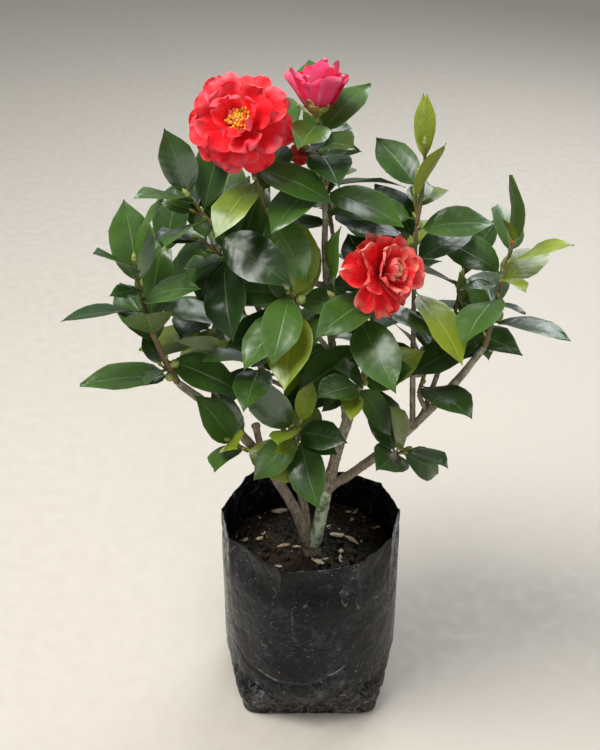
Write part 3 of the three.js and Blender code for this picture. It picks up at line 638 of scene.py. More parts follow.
def growSpurs():
    # A spur leaves between the stem's way and its leaf's own; each of its small leaves is turned
    # until it is clear, or left out.
    dice = np.random.default_rng(23)
    grown, small = [], []
    hosts = [leaf for leaf in leaves if not leaf["young"] and leaf["part"] < spurs["below"]]
    for leaf in hosts[::spurs["every"]]:
        stem, owner = leaf["twig"], leaf["owner"]
        stemWay = stem.frame(leaf["share"])[0]
        sway = dice.uniform(-spurs["sway"], spurs["sway"], 3)
        way = unit(stemWay * spurs["byStem"] + leaf["way"] * spurs["byLeaf"] + sway)
        length = dice.uniform(*spurs["length"])
        start = stem.at(leaf["share"] + spurs["above"] / stem.length)
        spur = Limb(start, *compassOf(way), length, spurs["foot"], spurs["tip"], lift=spurs["lift"])
        compass, sizes = dice.uniform(0, 360), dice.uniform(*spurs["leaf"], 2)
        droops, rolls = dice.uniform(*spurs["droop"], 2), dice.uniform(-spurs["roll"], spurs["roll"], 2)
        if blocked(spur, owner) or nearFlower(spur.path):
            continue
        grown.append((leaf["mass"], spur))
        space.addLimb(spur, owner)
        for order, share in enumerate(spurs["seats"]):
            for turn in spurs["retryTurns"]:
                bearing = compass + spurs["apart"] * order + turn
                blade = makeLeaf(spur, share, bearing, spurs["lean"][order], sizes[order], spurs["width"],
                                 droops[order], rolls[order], owner)
                if space.clear(blade, owner) and not nearFlower(leafSamples(blade)):
                    blade.update(mass=leaf["mass"], twig=spur, share=share, young=False, part=1)
                    space.addLeaf(blade)
                    small.append(blade)
                    break
    return grown, small

spurTwigs, smallLeaves = growSpurs()
print("finer twigs:", len(spurTwigs), "spurs,", len(smallLeaves), "small leaves")


# leaves

blade = {
    "rows": [0, 0.045, 0.09, 0.13, 0.2, 0.3, 0.42, 0.55, 0.68, 0.8, 0.9, 0.965, 1],
    "top": [1, 0.55, 0, -0.55, -1],  # across the upper face, from one edge to the other
    "under": [-0.55, 0, 0.55],
    "fuller": 0.17, "fullerAt": 0.76, "fullerOver": 0.15,  # how much wider than the solids' leaf, and where
    "drawnIn": 0.3,  # how much the last tenth is drawn in
    "thick": 0.42, "thinTip": 0.6,
    "rib": 0.55, "ribWidth": 0.3,  # how far the midrib stands out underneath
    "stalk": 0.85, "stalkFrom": 42,  # half the stalk's thickness, on leaves of this length or more
    "curl": 0.1,  # how far the edges turn back, as a share of the half width
    "wave": 0.016, "pitches": (1.2, 2.3, 1.6),  # the waves along the edges: height and count
    "swerve": 0.03,  # how far the tip may lean to one side
    "hook": 0.03,  # how far the last third bends down
    "youngMark": 1.3,
}
freshShare = {  # what share of a spray's leaves are bright and young
    "foliage_mid_left": 0.5, "foliage_left_low": 0.45, "foliage_front": 0.4, "foliage_bloom": 0.15,
    "foliage_right_up": 0.3, "foliage_top": 0.25, "foliage_right_tip": 0.2, "foliage_right_low": 0.1,
    "foliage_side_left": 0.3, "foliage_rear_top": 0.25, "foliage_rear_left": 0.2, "others": 0.08,
}
deepShare = 0.45  # of the leaves that are left

def bladeBodies(leaves, seed):
    # Each blade is a closed ring of 8 points carried along its midrib: 5 on the upper face, 3 below.
    # The midrib drops with the square of the share; the sides rise from it by the fold and turn
    # back at the edge; the edge waves; the tip hooks down and leans to one side.
    dice = np.random.default_rng(seed)
    count = len(leaves)
    def column(key):
        return np.array([leaf[key] for leaf in leaves], float).reshape(count, 1, 1, -1)
    base, way, face, side = column("base"), column("way"), column("face"), column("side")
    length, width, arch = (column(key)[..., 0] for key in ("length", "width", "arch"))
    share = np.array(blade["rows"])[None, :, None]
    across = np.array(blade["top"] + blade["under"])[None, None, :]
    under = np.array([0] * len(blade["top"]) + [1] * len(blade["under"]))[None, None, :]
    phase = dice.uniform(0, 2 * np.pi, (4, count, 1, 1))
    sway = dice.uniform(-1, 1, (count, 1, 1))

    fuller = blade["fuller"] * hill(share, blade["fullerAt"], blade["fullerOver"])
    half = leafHalf(share, width) * (1 + fuller)
    half = half * (1 - blade["drawnIn"] * smoothStep(share, 0.88, 0.98))
    onBlade = smoothStep(share, leafForm["stalk"] - 0.02, leafForm["stalk"] + 0.06)
    stalk = blade["stalk"] * np.minimum(length / blade["stalkFrom"], 1)
    half = np.maximum(half, stalk * (1 - smoothStep(share, 0.1, 0.2)) + 0.2)
    wide = np.abs(across)
    rise = leafForm["fold"] * half * (wide * 1.18 - 0.18 * wide ** 3) - blade["curl"] * half * wide ** 4
    first, second, third = (np.sin(2 * np.pi * pitch * share + turn)
                            for pitch, turn in zip(blade["pitches"], phase))
    edgeWave = blade["wave"] * length * (first + 0.5 * second) * wide ** 2 * np.sign(across) * onBlade
    edgeWave = edgeWave + 0.5 * blade["wave"] * length * third * wide
    drop = arch * length * share ** 2 + blade["hook"] * length * smoothStep(share, 0.65, 1.1)
    swerve = blade["swerve"] * length * sway * share ** 2.2
    rib = blade["rib"] * np.exp(-(across / blade["ribWidth"]) ** 2) * under * (1 - 0.75 * share)
    thick = blade["thick"] + rib
    thick = thick * onBlade + stalk * (1 - onBlade) * np.sqrt(np.maximum(1 - across ** 2, 0))
    thick = thick * (1 - blade["thinTip"] * smoothStep(share, 0.9, 1))
    lift = np.where(under > 0, -thick * 0.5, thick * 0.5) * (1 - wide ** 6)
    height = rise * onBlade + edgeWave * onBlade - drop + lift
    points = base + way * (share * length)[..., None] + face * height[..., None]
    points = points + side * (across * half + swerve)[..., None]
    maps = np.stack(np.broadcast_arrays(0.5 + 0.5 * across, share), -1)
    maps = np.broadcast_to(maps, points.shape[:3] + (2,))
    belowSlots = [0] * (len(blade["top"]) - 1) + [1] * (len(blade["under"]) + 1)
    marks = np.where([leaf["young"] for leaf in leaves], blade["youngMark"], dice.uniform(size=count))
    return tubes(points, maps, belowSlots, marks, paired=True)

def leafFinish(name, deep, pale, gloss, under=False):
    # Colour: two plain greens mixed by slow noise and by the leaf's own share; the midrib and margin
    # are paler and so, faintly, are the side veins at a slant. Relief: a sunken midrib, a slight
    # swell between the veins, and slow waves that break up the shine.
    finish = Finish(name, Coat_Weight=0.0 if under else 0.26, Coat_Roughness=0.2, Specular_IOR_Level=0.36)
    out = finish.maths("absolute", finish.maths("multiply_add", finish.across, 2, -1))
    slant = finish.maths("subtract", finish.down, finish.times(out, 0.17))
    bend = finish.noise(90, 2)
    slant = finish.maths("multiply_add", bend, 0.02, slant)
    veinStep = finish.maths("pingpong", finish.times(slant, 8.5), 0.5)
    vein = finish.between(veinStep, 0.0, 0.09, 1, 0)
    vein = finish.times(vein, finish.between(out, 0.75, 0.95, 1, 0))
    rib = finish.between(out, 0.015, 0.07, 1, 0)
    lines = finish.maths("maximum", finish.times(vein, 0.3 if under else 0.1), rib)
    lines = finish.maths("maximum", lines, finish.between(out, 0.88, 1.0, 0, 0.55))
    patch = finish.noise(45, 4, 0.6)
    share = finish.maths("add", finish.between(patch, 0.32, 0.68, -0.1, 0.75), finish.mark)
    share = finish.times(share, 0.65)
    green = finish.mix(share, deep, pale)
    veinPaint = tuple(part + 0.1 * light for part, light in zip(pale, (0.8, 1, 0.45)))
    finish.colour(finish.mix(finish.times(lines, 0.5), green, veinPaint))
    finish.roughness(finish.between(finish.noise(70, 3), 0.3, 0.75, gloss, gloss + 0.14))
    swell = finish.times(finish.between(veinStep, 0.0, 0.45), 0.12)
    swell = finish.maths("subtract", swell, finish.times(rib, 0.5))
    finish.relief(finish.maths("add", swell, finish.times(finish.noise(70, 2), 1.2)), 0.6)
    return finish.material

def leafTint(leaf, dice):
    throw = dice.uniform()
    fresh = freshShare.get(leaf["mass"], freshShare["others"])
    if leaf["young"] or throw < fresh:
        return "fresh"
    return "deep" if throw < fresh + deepShare * (1 - fresh) else "green"

leafPaints = {  # the two greens of the upper face, and its roughness
    "deep": ((0.01, 0.03, 0.005), (0.027, 0.066, 0.01), 0.25),
    "green": ((0.023, 0.06, 0.008), (0.055, 0.124, 0.015), 0.28),
    "fresh": ((0.08, 0.135, 0.008), (0.21, 0.265, 0.016), 0.32),
}
underPaints = {  # the two greens of the under face
    "deep": ((0.04, 0.08, 0.014), (0.08, 0.13, 0.025)),
    "green": ((0.065, 0.115, 0.018), (0.11, 0.175, 0.03)),
    "fresh": ((0.13, 0.18, 0.018), (0.26, 0.31, 0.03)),
}
underGloss = 0.5
dice = np.random.default_rng(41)
for leaf in leaves + smallLeaves:
    leaf["tint"] = leafTint(leaf, dice)
for tint in leafPaints:
    batches = [[leaf for leaf in group if leaf["tint"] == tint] for group in (leaves, smallLeaves)]
    bodies = [bladeBodies(batch, 7 + order) for order, batch in enumerate(batches) if batch]
    upper = leafFinish("leaf_" + tint, *leafPaints[tint])
    lower = leafFinish("leaf_" + tint + "_under", *underPaints[tint], underGloss, under=True)
    makePiece("leaves_" + tint, bodies, [upper, lower], sharp=55)


# bark, twigs and buds

bark = {
    "sides": 26, "step": 1.1,
    "ridges": 0.04,  # long ridges and furrows, as a share of the radius
    "lumps": 0.05,
    "scarEvery": 17, "scar": 0.07, "scarAt": 4,  # old leaf scars ring the wood
    "collar": 0.45, "collarReach": 1.5,  # a fork swells at its foot, over this many foot radii
    "rootTaper": 0.3, "tipRadius": 0.35,
    "markFrom": 0.36, "markTo": 0.52,  # where a limb's first mark gives way to its second
    "cleft": 2.6, "cleftWidth": 20,
    "clefts": ((272, 1), (102, 0.7)),  # heading and depth: the trunk is cleft between its two stems
    "trunkSize": 0.92, "trunkRidges": 0.045, "trunkTaper": 0.72,
    "greenFrom": 290, "greenTo": 60,  # the side of the trunk that carries the green stem
    "callus": 0.32,  # how far the ring round the cut stub stands out
    "root": 26,  # how far the limbs that leave the trunk run on down, to its foot
    "greening": 0.42,  # thin wood turns green towards its tip
    "wander": 0.35,  # how far a limb strays from its even curve
    "trunkRows": 40, "trunkSides": 64, "stubRows": 30,
    "cutFace": [[0.92, 0.35], [0.72, 0.1], [0.5, -0.25], [0.25, -0.35], [0.05, -0.4]],  # radius, height
    "cutMark": 2.0, "stubMark": 0.15,
}

def tubeMaps(count, sides, length):
    # round the tube, 0 to 1, and along it, in tenths of a metre
    shares = np.linspace(0, 1, count)[:, None] + np.zeros(sides)
    return np.stack([np.tile(np.linspace(0, 1, sides), (count, 1)), shares * length / 100], -1)

def limbBody(name, limb, seed, marks):
    # the limb's radius, times ridges that run along it, slow lumps, a ring of scar at every node,
    # and a swelling where it leaves its parent; its mark changes at the middle, and grows again
    # towards the tip
    rows = max(12, int(limb.length / bark["step"]))
    root = bark["root"] / limb.length if limbSizes[name]["on"] == "trunk" else 0
    share = np.linspace(-root, 1, rows)
    toFoot = (limb.path[0] - trunkPlace["foot"]) / bark["root"]
    middles = limb.at(share) + toFoot * np.minimum(share, 0)[:, None] * limb.length
    stray = ripple(share * limb.length * 0.08, 0 * share, seed, 0.6, 1.6)
    middles = middles + bark["wander"] * stray[:, None]
    run = (share * limb.length)[:, None]
    angle = np.linspace(0, 2 * np.pi, bark["sides"], endpoint=False)[None, :]
    radius = limb.radius(share)[:, None]
    ridge = ripple(np.cos(angle) * 2.2, np.sin(angle) * 2.2 + run * 0.03, seed + 1, 1, 2.6)
    lump = ripple(np.cos(angle) + run * 0.14, np.sin(angle) + run * 0.1, seed + 2, 0.6, 1.8)
    nodeAt = (run + 4 * np.sin(seed + run * 0.07)) % bark["scarEvery"]
    scar = hill(nodeAt, bark["scarAt"], 1.3) - 0.5 * hill(nodeAt, bark["scarAt"] + 2.2, 0.7)
    size = radius * (1 + bark["ridges"] * ridge + bark["lumps"] * lump + bark["scar"] * scar)
    if root:
        size = size * (1 - bark["rootTaper"] * smoothStep(share, 0, -root))[:, None]
    else:
        size = size * (1 + bark["collar"] * np.exp(-(run / (limb.foot * bark["collarReach"])) ** 2))
    mark = marks[0] + (marks[1] - marks[0]) * smoothStep(share, bark["markFrom"], bark["markTo"])
    mark = mark * smoothStep(share, -root, -0.6 * root) if root else mark
    mark = np.maximum(mark, bark["greening"] * smoothStep(share, 0.1, 1))
    rounded = np.sqrt(np.clip((1 - share) * limb.length / limb.tip, 0, 1))[:, None]
    size = size * (bark["tipRadius"] + (1 - bark["tipRadius"]) * rounded ** 0.7)
    body = tubes(sweep(middles, size, bark["sides"])[None], tubeMaps(rows, bark["sides"], limb.length)[None])
    body["marks"] = np.repeat(mark, bark["sides"])
    return body

def trunkBody(limb):
    # rings flat on the level: the trunk's radius, a flare at the soil, ridges, and a cleft between
    # the two stems that deepens towards the fork; its mark turns it green under the green stem
    rows, sides = bark["trunkRows"], bark["trunkSides"]
    share = np.linspace(-0.12, 1, rows)[:, None]
    angle = np.linspace(0, 2 * np.pi, sides, endpoint=False)[None, :]
    middles = limb.at(share[:, 0])
    middles[:, 2] = limb.path[0, 2] + share[:, 0] * (limb.path[-1, 2] - limb.path[0, 2])
    high = middles[:, 2:3] - trunkPlace["ground"]
    radius = limb.radius(share) + 0.5 * trunkPlace["flareWidth"] * smoothStep(high, trunkPlace["flare"], -3)
    ridge = ripple(np.cos(angle) * 3, np.sin(angle) * 3 + high * 0.06, 31, 1, 2.8)
    radius = bark["trunkSize"] * radius * (1 + bark["trunkRidges"] * ridge)
    radius = radius * (1 - bark["trunkTaper"] * smoothStep(share, -0.05, 1.0))
    for heading, depth in bark["clefts"]:
        groove = hill(awayFrom(np.degrees(angle), heading), 0, bark["cleftWidth"])
        radius = radius - depth * bark["cleft"] * groove * smoothStep(share, -0.1, 0.7)
    points = middles[:, None] + levelRings(radius, angle, 0)
    greenSpan = (bark["greenTo"] - bark["greenFrom"]) % 360
    turn = (np.degrees(angle) - bark["greenFrom"]) % 360 / greenSpan
    green = smoothStep(turn, 0, 0.12) * smoothStep(turn, 1, 0.88) * smoothStep(share, 0.0, 0.45)
    body = tubes(points[None], tubeMaps(rows, sides, limb.length)[None])
    body["marks"] = green.reshape(-1)
    return body

def stubBody(limb, seed):
    # the short limb that was cut: a callus ring round a sunken, ringed face of bare wood
    rows, sides = bark["stubRows"], bark["sides"]
    share = np.linspace(0, 1, rows)
    run = share * limb.length
    angle = np.linspace(0, 2 * np.pi, sides, endpoint=False)[None, :]
    grain = ripple(np.cos(angle) * 2, np.sin(angle) * 2 + run[:, None] * 0.1, seed, 1, 2.5)
    size = limb.radius(share)[:, None] * (1 + 0.05 * grain)
    size = size * (1 + bark["callus"] * hill(run, limb.length - 1.2, 1.7)[:, None])
    way = limb.frame(1.0)[0]
    face = np.array(bark["cutFace"])
    middles = np.concatenate([limb.at(share), limb.path[-1] + way * face[:, 1:2]])
    size = np.concatenate([size, limb.tip * 1.12 * face[:, 0:1] + 0 * angle])
    body = tubes(sweep(middles, size, sides, way=way)[None], tubeMaps(len(size), sides, limb.length)[None])
    marks = np.where(np.arange(len(size)) > rows, bark["cutMark"], bark["stubMark"])
    body["marks"] = np.repeat(marks, sides)
    return body

barkPaints = {
    "furrow": (0.12, 0.09, 0.06), "ridge": (0.36, 0.295, 0.225), "speck": (0.55, 0.49, 0.4),
    "green": (0.14, 0.19, 0.07), "white": (0.6, 0.68, 0.5), "greenRidge": (0.22, 0.19, 0.11),
    "cut": (0.3, 0.21, 0.12), "paleCut": (0.5, 0.4, 0.27),
}

def barkFinish():
    # Colour: grey-brown with darker furrows stretched up the stem and pale specks. Up to a mark of 1
    # it turns to the green and white of young bark, and at 2 it is bare cut wood. Relief: furrows.
    finish = Finish("bark", Specular_IOR_Level=0.25)
    furrow = finish.noise(1.0, 6, 0.65, 0.6, finish.stretched((420, 420, 130)))
    patch = finish.noise(95, 4)
    speck = finish.between(finish.noise(900, 1, place=finish.stretched((1, 1, 0.6))), 0.62, 0.72)
    paints = barkPaints
    brown = finish.mix(finish.between(furrow, 0.3, 0.7), paints["furrow"], paints["ridge"])
    brown = finish.mix(finish.times(speck, 0.5), brown, paints["speck"])
    green = finish.mix(finish.between(patch, 0.42, 0.62), paints["green"], paints["white"])
    green = finish.mix(finish.between(furrow, 0.5, 0.75, 0, 0.5), green, paints["greenRidge"])
    share = finish.between(finish.maths("multiply_add", patch, 0.5, finish.mark), 0.55, 0.95)
    wood = finish.mix(finish.between(patch, 0.4, 0.6), paints["cut"], paints["paleCut"])
    body = finish.mix(finish.between(finish.mark, 1.4, 1.8), finish.mix(share, brown, green), wood)
    finish.colour(body)
    finish.roughness(finish.between(furrow, 0.2, 0.8, 0.9, 0.62))
    fine = finish.times(finish.noise(1500, 2), 0.3)
    finish.relief(finish.maths("add", furrow, fine), 0.6)
    return finish.material

limbMarks = {  # how green a limb is, at its foot and past its middle
    "bough_middle": (1.0, 0.2), "bough_right": (0.1, 0.4), "bough_leader": (0.3, 0.3), "others": (0.1, 0.15),
}
barkBodies = []
for order, (name, limb) in enumerate(limbs.items()):
    if name == "trunk":
        barkBodies.append(trunkBody(limb))
    elif name == "bough_stub":
        barkBodies.append(stubBody(limb, order))
    else:
        barkBodies.append(limbBody(name, limb, 20 * order, limbMarks.get(name, limbMarks["others"])))
makePiece("bark", barkBodies, [barkFinish()], woodNodes)

shoots = {
    "sides": 10, "step": 2.2, "node": 0.3, "nodeWidth": 1.8,
    "bud": (6.5, 1.5), "endBud": (11, 2.4), "fatBud": (12, 3.7), "spurBud": (7.5, 1.5),  # length, radius
}
fatBuds = [  # plump flower buds: mass, share of its stem, heading, rise
    ("foliage_left", 0.03, 230, 40), ("foliage_left", 0.15, 330, 35),
    ("foliage_right_inner", 0.35, 200, 30), ("foliage_right_tip", 0.22, 20, 40),
    ("foliage_centre", 0.25, 200, 45), ("foliage_mid_right", 0.75, 10, 50),
    ("foliage_mid_left", 0.6, 320, 35), ("foliage_rear_right", 0.9, 30, 50),
    ("foliage_rear_left", 0.7, 160, 45), ("foliage_top", 0.35, 0, 40),
]
redBuds = ["foliage_right_tip"]

def spindle(base, way, length, radius, fat=0.42, sides=10, rows=9, tipRadius=0.04, mark=0.0):
    # a closed spindle: its radius swells to a hill at `fat` of its length and ends in a point
    share = np.linspace(0, 1, rows)
    swell = np.sin(np.pi * share ** (math.log(0.5) / math.log(fat))) ** 0.75
    rim = np.maximum(swell, np.where(share < 0.5, 0.35, tipRadius))
    middles = base + way * (share * length)[:, None]
    return tubes(sweep(middles, radius * rim, sides)[None], tubeMaps(rows, sides, 100)[None], 0, mark)

def twigBody(twig, seats, seed):
    # tapers to its tip, with a small swelling at every leaf
    rows = max(10, int(twig.length / shoots["step"]))
    share = np.linspace(0, 1, rows)
    radius = twig.radius(share) * (1 + 0.04 * ripple(share * twig.length * 0.3, 0 * share, seed, 0.5, 2))
    for seat in seats:
        radius = radius + shoots["node"] * hill(share * twig.length, seat * twig.length, shoots["nodeWidth"])
    radius = radius * (0.3 + 0.7 * np.sqrt(np.clip((1 - share) * twig.length / 2, 0, 1)))
    rings = sweep(twig.at(share), radius, shoots["sides"])
    return tubes(rings[None], tubeMaps(rows, shoots["sides"], twig.length)[None])

shootPaints = {"green": (0.095, 0.1, 0.028), "brown": (0.21, 0.125, 0.065), "speck": (0.3, 0.24, 0.15)}
budPaints = {
    "green": (0.15, 0.22, 0.035), "pale": (0.34, 0.38, 0.1), "edge": (0.5, 0.46, 0.22),
    "red": (0.62, 0.12, 0.03),
}

def shootFinish():
    # young wood, green towards brown along slow patches, with small pale specks
    finish = Finish("young_wood", Specular_IOR_Level=0.35)
    patch = finish.noise(60, 3)
    grain = finish.noise(1.0, 4, 0.6, 0.4, finish.stretched((600, 600, 220)))
    wood = finish.mix(finish.between(patch, 0.35, 0.65), shootPaints["green"], shootPaints["brown"])
    wood = finish.mix(finish.between(grain, 0.45, 0.8, 0, 0.55), wood, shootPaints["speck"])
    finish.colour(wood)
    finish.roughness(finish.between(grain, 0.3, 0.7, 0.45, 0.65))
    finish.relief(grain, 0.25)
    return finish.material

def budFinish():
    # green scales with paler edges, in bands that overlap towards the tip; orange-red at a mark of 1
    finish = Finish("bud_scales", Specular_IOR_Level=0.4)
    band = finish.maths("pingpong", finish.times(finish.down, 3.4), 0.5)
    edge = finish.between(finish.maths("multiply_add", finish.noise(500, 2), 0.15, band), 0.4, 0.56)
    patch = finish.between(finish.noise(150, 3), 0.35, 0.65)
    scale = finish.mix(patch, budPaints["green"], budPaints["pale"])
    scale = finish.mix(finish.times(edge, 0.6), scale, budPaints["edge"])
    finish.colour(finish.mix(finish.times(finish.mark, 0.85), scale, budPaints["red"]))
    finish.roughness(finish.between(band, 0, 0.5, 0.35, 0.5))
    finish.relief(band, 0.4)
    return finish.material

twigBodies = []
budBodies = []
for name, stems in twigs.items():
    for order, twig in enumerate(stems):
        seats = [leaf["share"] for leaf in leaves if leaf["twig"] is twig]
        twigBodies.append(twigBody(twig, seats, len(twigBodies)))
        if not (order == 0 and massSizes[name]["flower"]):
            way = twig.frame(1.0)[0]
            mark = float(name in redBuds)
            budBodies.append(spindle(twig.path[-1] - way * 1.5, way, *shoots["endBud"], mark=mark))
for name, spur in spurTwigs:
    twigBodies.append(twigBody(spur, [leaf["share"] for leaf in smallLeaves if leaf["twig"] is spur], 3))
    way = spur.frame(1.0)[0]
    budBodies.append(spindle(spur.path[-1] - way, way, *shoots["spurBud"], sides=8))
for name, share, heading, rise in fatBuds:
    stem = twigs[name][0]
    way = along(math.radians(heading), math.radians(rise))
    root = stem.at(share) + way * stem.radius(share) * 0.5
    budBodies.append(spindle(root, way, *shoots["fatBud"], fat=0.55, sides=14, rows=12))
for leaf in leaves:
    if leaf["young"]:
        continue
    way = unit(leaf["twig"].frame(leaf["share"])[0] * 0.8 + leaf["way"] * 0.55)
    root = leaf["base"] + way * 0.6
    budBodies.append(spindle(root, way, *shoots["bud"], sides=7, rows=7))
makePiece("twigs", twigBodies, [shootFinish()], foliageNodes)
makePiece("buds", budBodies, [budFinish()])


# blossom

petal = {
    "rows": [0, 0.1, 0.2, 0.31, 0.42, 0.53, 0.64, 0.74, 0.82, 0.89, 0.945, 0.98, 1],
    "top": 9, "under": 7, "thick": 0.5,
    "notch": 0.08,  # how far the tip is cleft, as a share of the length
    "widen": 0.06,  # a flower is wider than it is high, by this share of its radius each way
    "steep": 135,  # where a skewed flower's petals stand steeper, in degrees round from its right
    "lengths": (0.86, 1.07), "widths": (0.85, 1.12), "stray": 0.16,
    "rise": 0.05,  # how far each ring is rooted above the one before, as a share of the radius
    "fold": 0.03, "cleftWidth": 0.16,
    "marginWaves": ((1, 3.6, 0), (0.7, 6.5, 3)),  # height, waves across and along
}

def petalRing(count, lean, length, width, arch, cup=0.25, ruffle=0.05, recurve=0.0, loose=9, pale=False):
    # a ring of petals: lean off the axis in degrees, and the rest as shares of the flower's radius
    return dict(count=count, lean=lean, length=length, width=width, arch=arch, cup=cup, ruffle=ruffle,
                recurve=recurve, loose=loose, pale=pale)

flowerForms = {
    "open": [
        petalRing(7, 95, 1.1, 1.04, 0.02, 0.1, 0.06, 0.1, 8),
        petalRing(7, 78, 1.06, 0.98, -0.1, 0.16, 0.07, 0.12, 10),
        petalRing(6, 60, 0.98, 0.88, -0.18, 0.22, 0.075, 0.1, 12),
        petalRing(5, 42, 0.82, 0.72, -0.2, 0.32, 0.08, 0.05, 12),
        petalRing(3, 33, 0.44, 0.42, -0.16, 0.4, 0.05, 0.0, 10),
    ],
    "second": [
        petalRing(7, 90, 1.03, 1.0, 0.0, 0.2, 0.04, 0.1, 7),
        petalRing(7, 72, 1.0, 0.96, -0.12, 0.3, 0.045, 0.1, 8),
        petalRing(6, 54, 0.86, 0.86, -0.2, 0.4, 0.05, 0.06, 8),
        petalRing(4, 40, 0.6, 0.6, -0.26, 0.5, 0.05, 0.0, 8),
        petalRing(7, 36, 0.44, 0.46, -0.3, 0.6, 0.03, 0.0, 9, pale=True),
        petalRing(4, 16, 0.4, 0.42, -0.3, 0.6, 0.03, 0.0, 7, pale=True),
    ],
    "opening": [
        petalRing(5, 58, 1.8, 2.2, -0.5, 0.4, 0.05, 0.16, 7),
        petalRing(4, 44, 1.85, 2.1, -0.5, 0.45, 0.05, 0.12, 7),
        petalRing(4, 25, 1.85, 1.7, -0.38, 0.5, 0.03, 0.02, 5),
    ],
    "bud": [
        petalRing(4, 24, 2.0, 1.9, -0.4, 0.5, 0.03, 0.0, 6),
        petalRing(3, 12, 1.9, 1.4, -0.3, 0.5, 0.02, 0.0, 4),
    ],
}
flowerLooks = {  # form, the piece it joins, how far the petals are rooted below the tip, stamens
    "foliage_bloom": {"form": "open", "piece": "open", "sink": 0, "stamens": 60, "skew": 0.04},
    "foliage_centre": {"form": "second", "piece": "second", "sink": 0, "stamens": 0, "skew": 0.0},
    "foliage_top": {"form": "opening", "piece": "opening", "sink": 9, "stamens": 0, "skew": 0.05},
    "foliage_rear_top": {"form": "bud", "piece": "second", "sink": 0, "stamens": 0, "skew": 0.0},
}
smallBud = flowerSize("bud", 12, 205, 12)  # a red bud at the tip of a stem behind the open flower
stamens = {"length": 0.56, "spread": 0.15, "radius": 0.36, "anther": (1.8, 1.25), "spiral": 2.39996}
sepals = {  # two rings of five: leans, length, width and how far below the heart
    "leans": (100, 78), "short": (0.36, 0.5, 0), "tall": (0.9, 0.9, 40), "below": 2.5,
}

def petalHalf(share):
    # half a petal's width: widest past its middle, with a broad round tip
    return 1.06 * share ** 0.75 * np.maximum(1 - share ** 5, 0) ** 0.5

def petalBodies(heart, axis, sideWay, upWay, radius, rings, seed, skew=0.0):
    # Each petal is a closed blade rooted on the axis. Its outline swells and is cleft at the tip. It
    # bends in along its length and rolls back at the tip; its sides cup and its margin ruffles. The
    # petals of the upper left stand steeper and reach further, by the skew.
    dice = np.random.default_rng(seed)
    bodies = []
    across = np.concatenate([np.linspace(1, -1, petal["top"]),
                             np.linspace(-1, 1, petal["under"] + 2)[1:-1]])[None, :]
    under = np.array([0] * petal["top"] + [1] * petal["under"])[None, :]
    slots = [0] * (petal["top"] - 1) + [1] * (petal["under"] + 1)
    share = np.array(petal["rows"])[:, None]
    for row, ring in enumerate(rings):
        for number in range(ring["count"]):
            stray = dice.uniform(-petal["stray"], petal["stray"])
            turn = (number + 0.5 * row + stray) / ring["count"] * 2 * np.pi
            raised = skew * math.cos(turn - math.radians(petal["steep"]))
            lean = math.radians(ring["lean"] * (1 - raised) + dice.uniform(-1, 1) * ring["loose"])
            length = radius * ring["length"] * dice.uniform(*petal["lengths"]) * (1 + raised)
            length = length * (1 + petal["widen"] * math.cos(2 * turn))
            width = radius * ring["width"] * dice.uniform(*petal["widths"])
            out = sideWay * math.cos(turn) + upWay * math.sin(turn)
            way = axis * math.cos(lean) + out * math.sin(lean)
            face = axis * math.sin(lean) - out * math.cos(lean)
            side = np.cross(face, way)
            roll = math.radians(dice.uniform(-1, 1) * ring["loose"])
            face = face * math.cos(roll) + side * math.sin(roll)
            side = np.cross(face, way)
            root = heart + axis * (1 + petal["rise"] * radius * row)
            half = np.maximum(petalHalf(0.05 + 0.947 * share) * width / 2, 0.5)
            cleft = hill(across * half, dice.uniform(-0.15, 0.15) * width, petal["cleftWidth"] * width)
            notch = petal["notch"] * dice.uniform(0.1, 1.3) * length * cleft
            phase = dice.uniform(0, 2 * np.pi, 4)
            margin = np.maximum(smoothStep(np.abs(across) + 0 * share, 0.3, 1) * 0.6 * share ** 0.5,
                                smoothStep(share + 0 * across, 0.5, 1))
            wave = sum(tall * np.sin(across * over + share * down + shift)
                       for (tall, over, down), shift in zip(petal["marginWaves"], phase))
            wave = wave + 0.6 * np.sin(share * 8 + np.sign(across) * phase[2])
            fold = petal["fold"] * length * np.sin(across * 5 + phase[3]) * share
            height = ring["cup"] * half * across ** 2 * (0.4 + 0.6 * share) + fold
            height = height - ring["arch"] * length * share ** 2 + ring["ruffle"] * length * wave * margin
            height = height - ring["recurve"] * length * smoothStep(share, 0.55, 1.05) ** 2
            thick = petal["thick"] * (1 - 0.5 * share) * (1 - across ** 6)
            height = height + np.where(under > 0, -thick / 2, thick / 2)
            reach = share * length - notch * smoothStep(share, 0.5, 1)
            points = root + way * reach[..., None] + face * height[..., None]
            points = points + side * (across * half)[..., None]
            maps = np.stack(np.broadcast_arrays(0.5 + 0.5 * across, share), -1)
            mark = 1.0 if ring["pale"] else dice.uniform(0, 0.5)
            bodies.append(tubes(points[None], maps[None], slots, mark, paired=True))
    return bodies

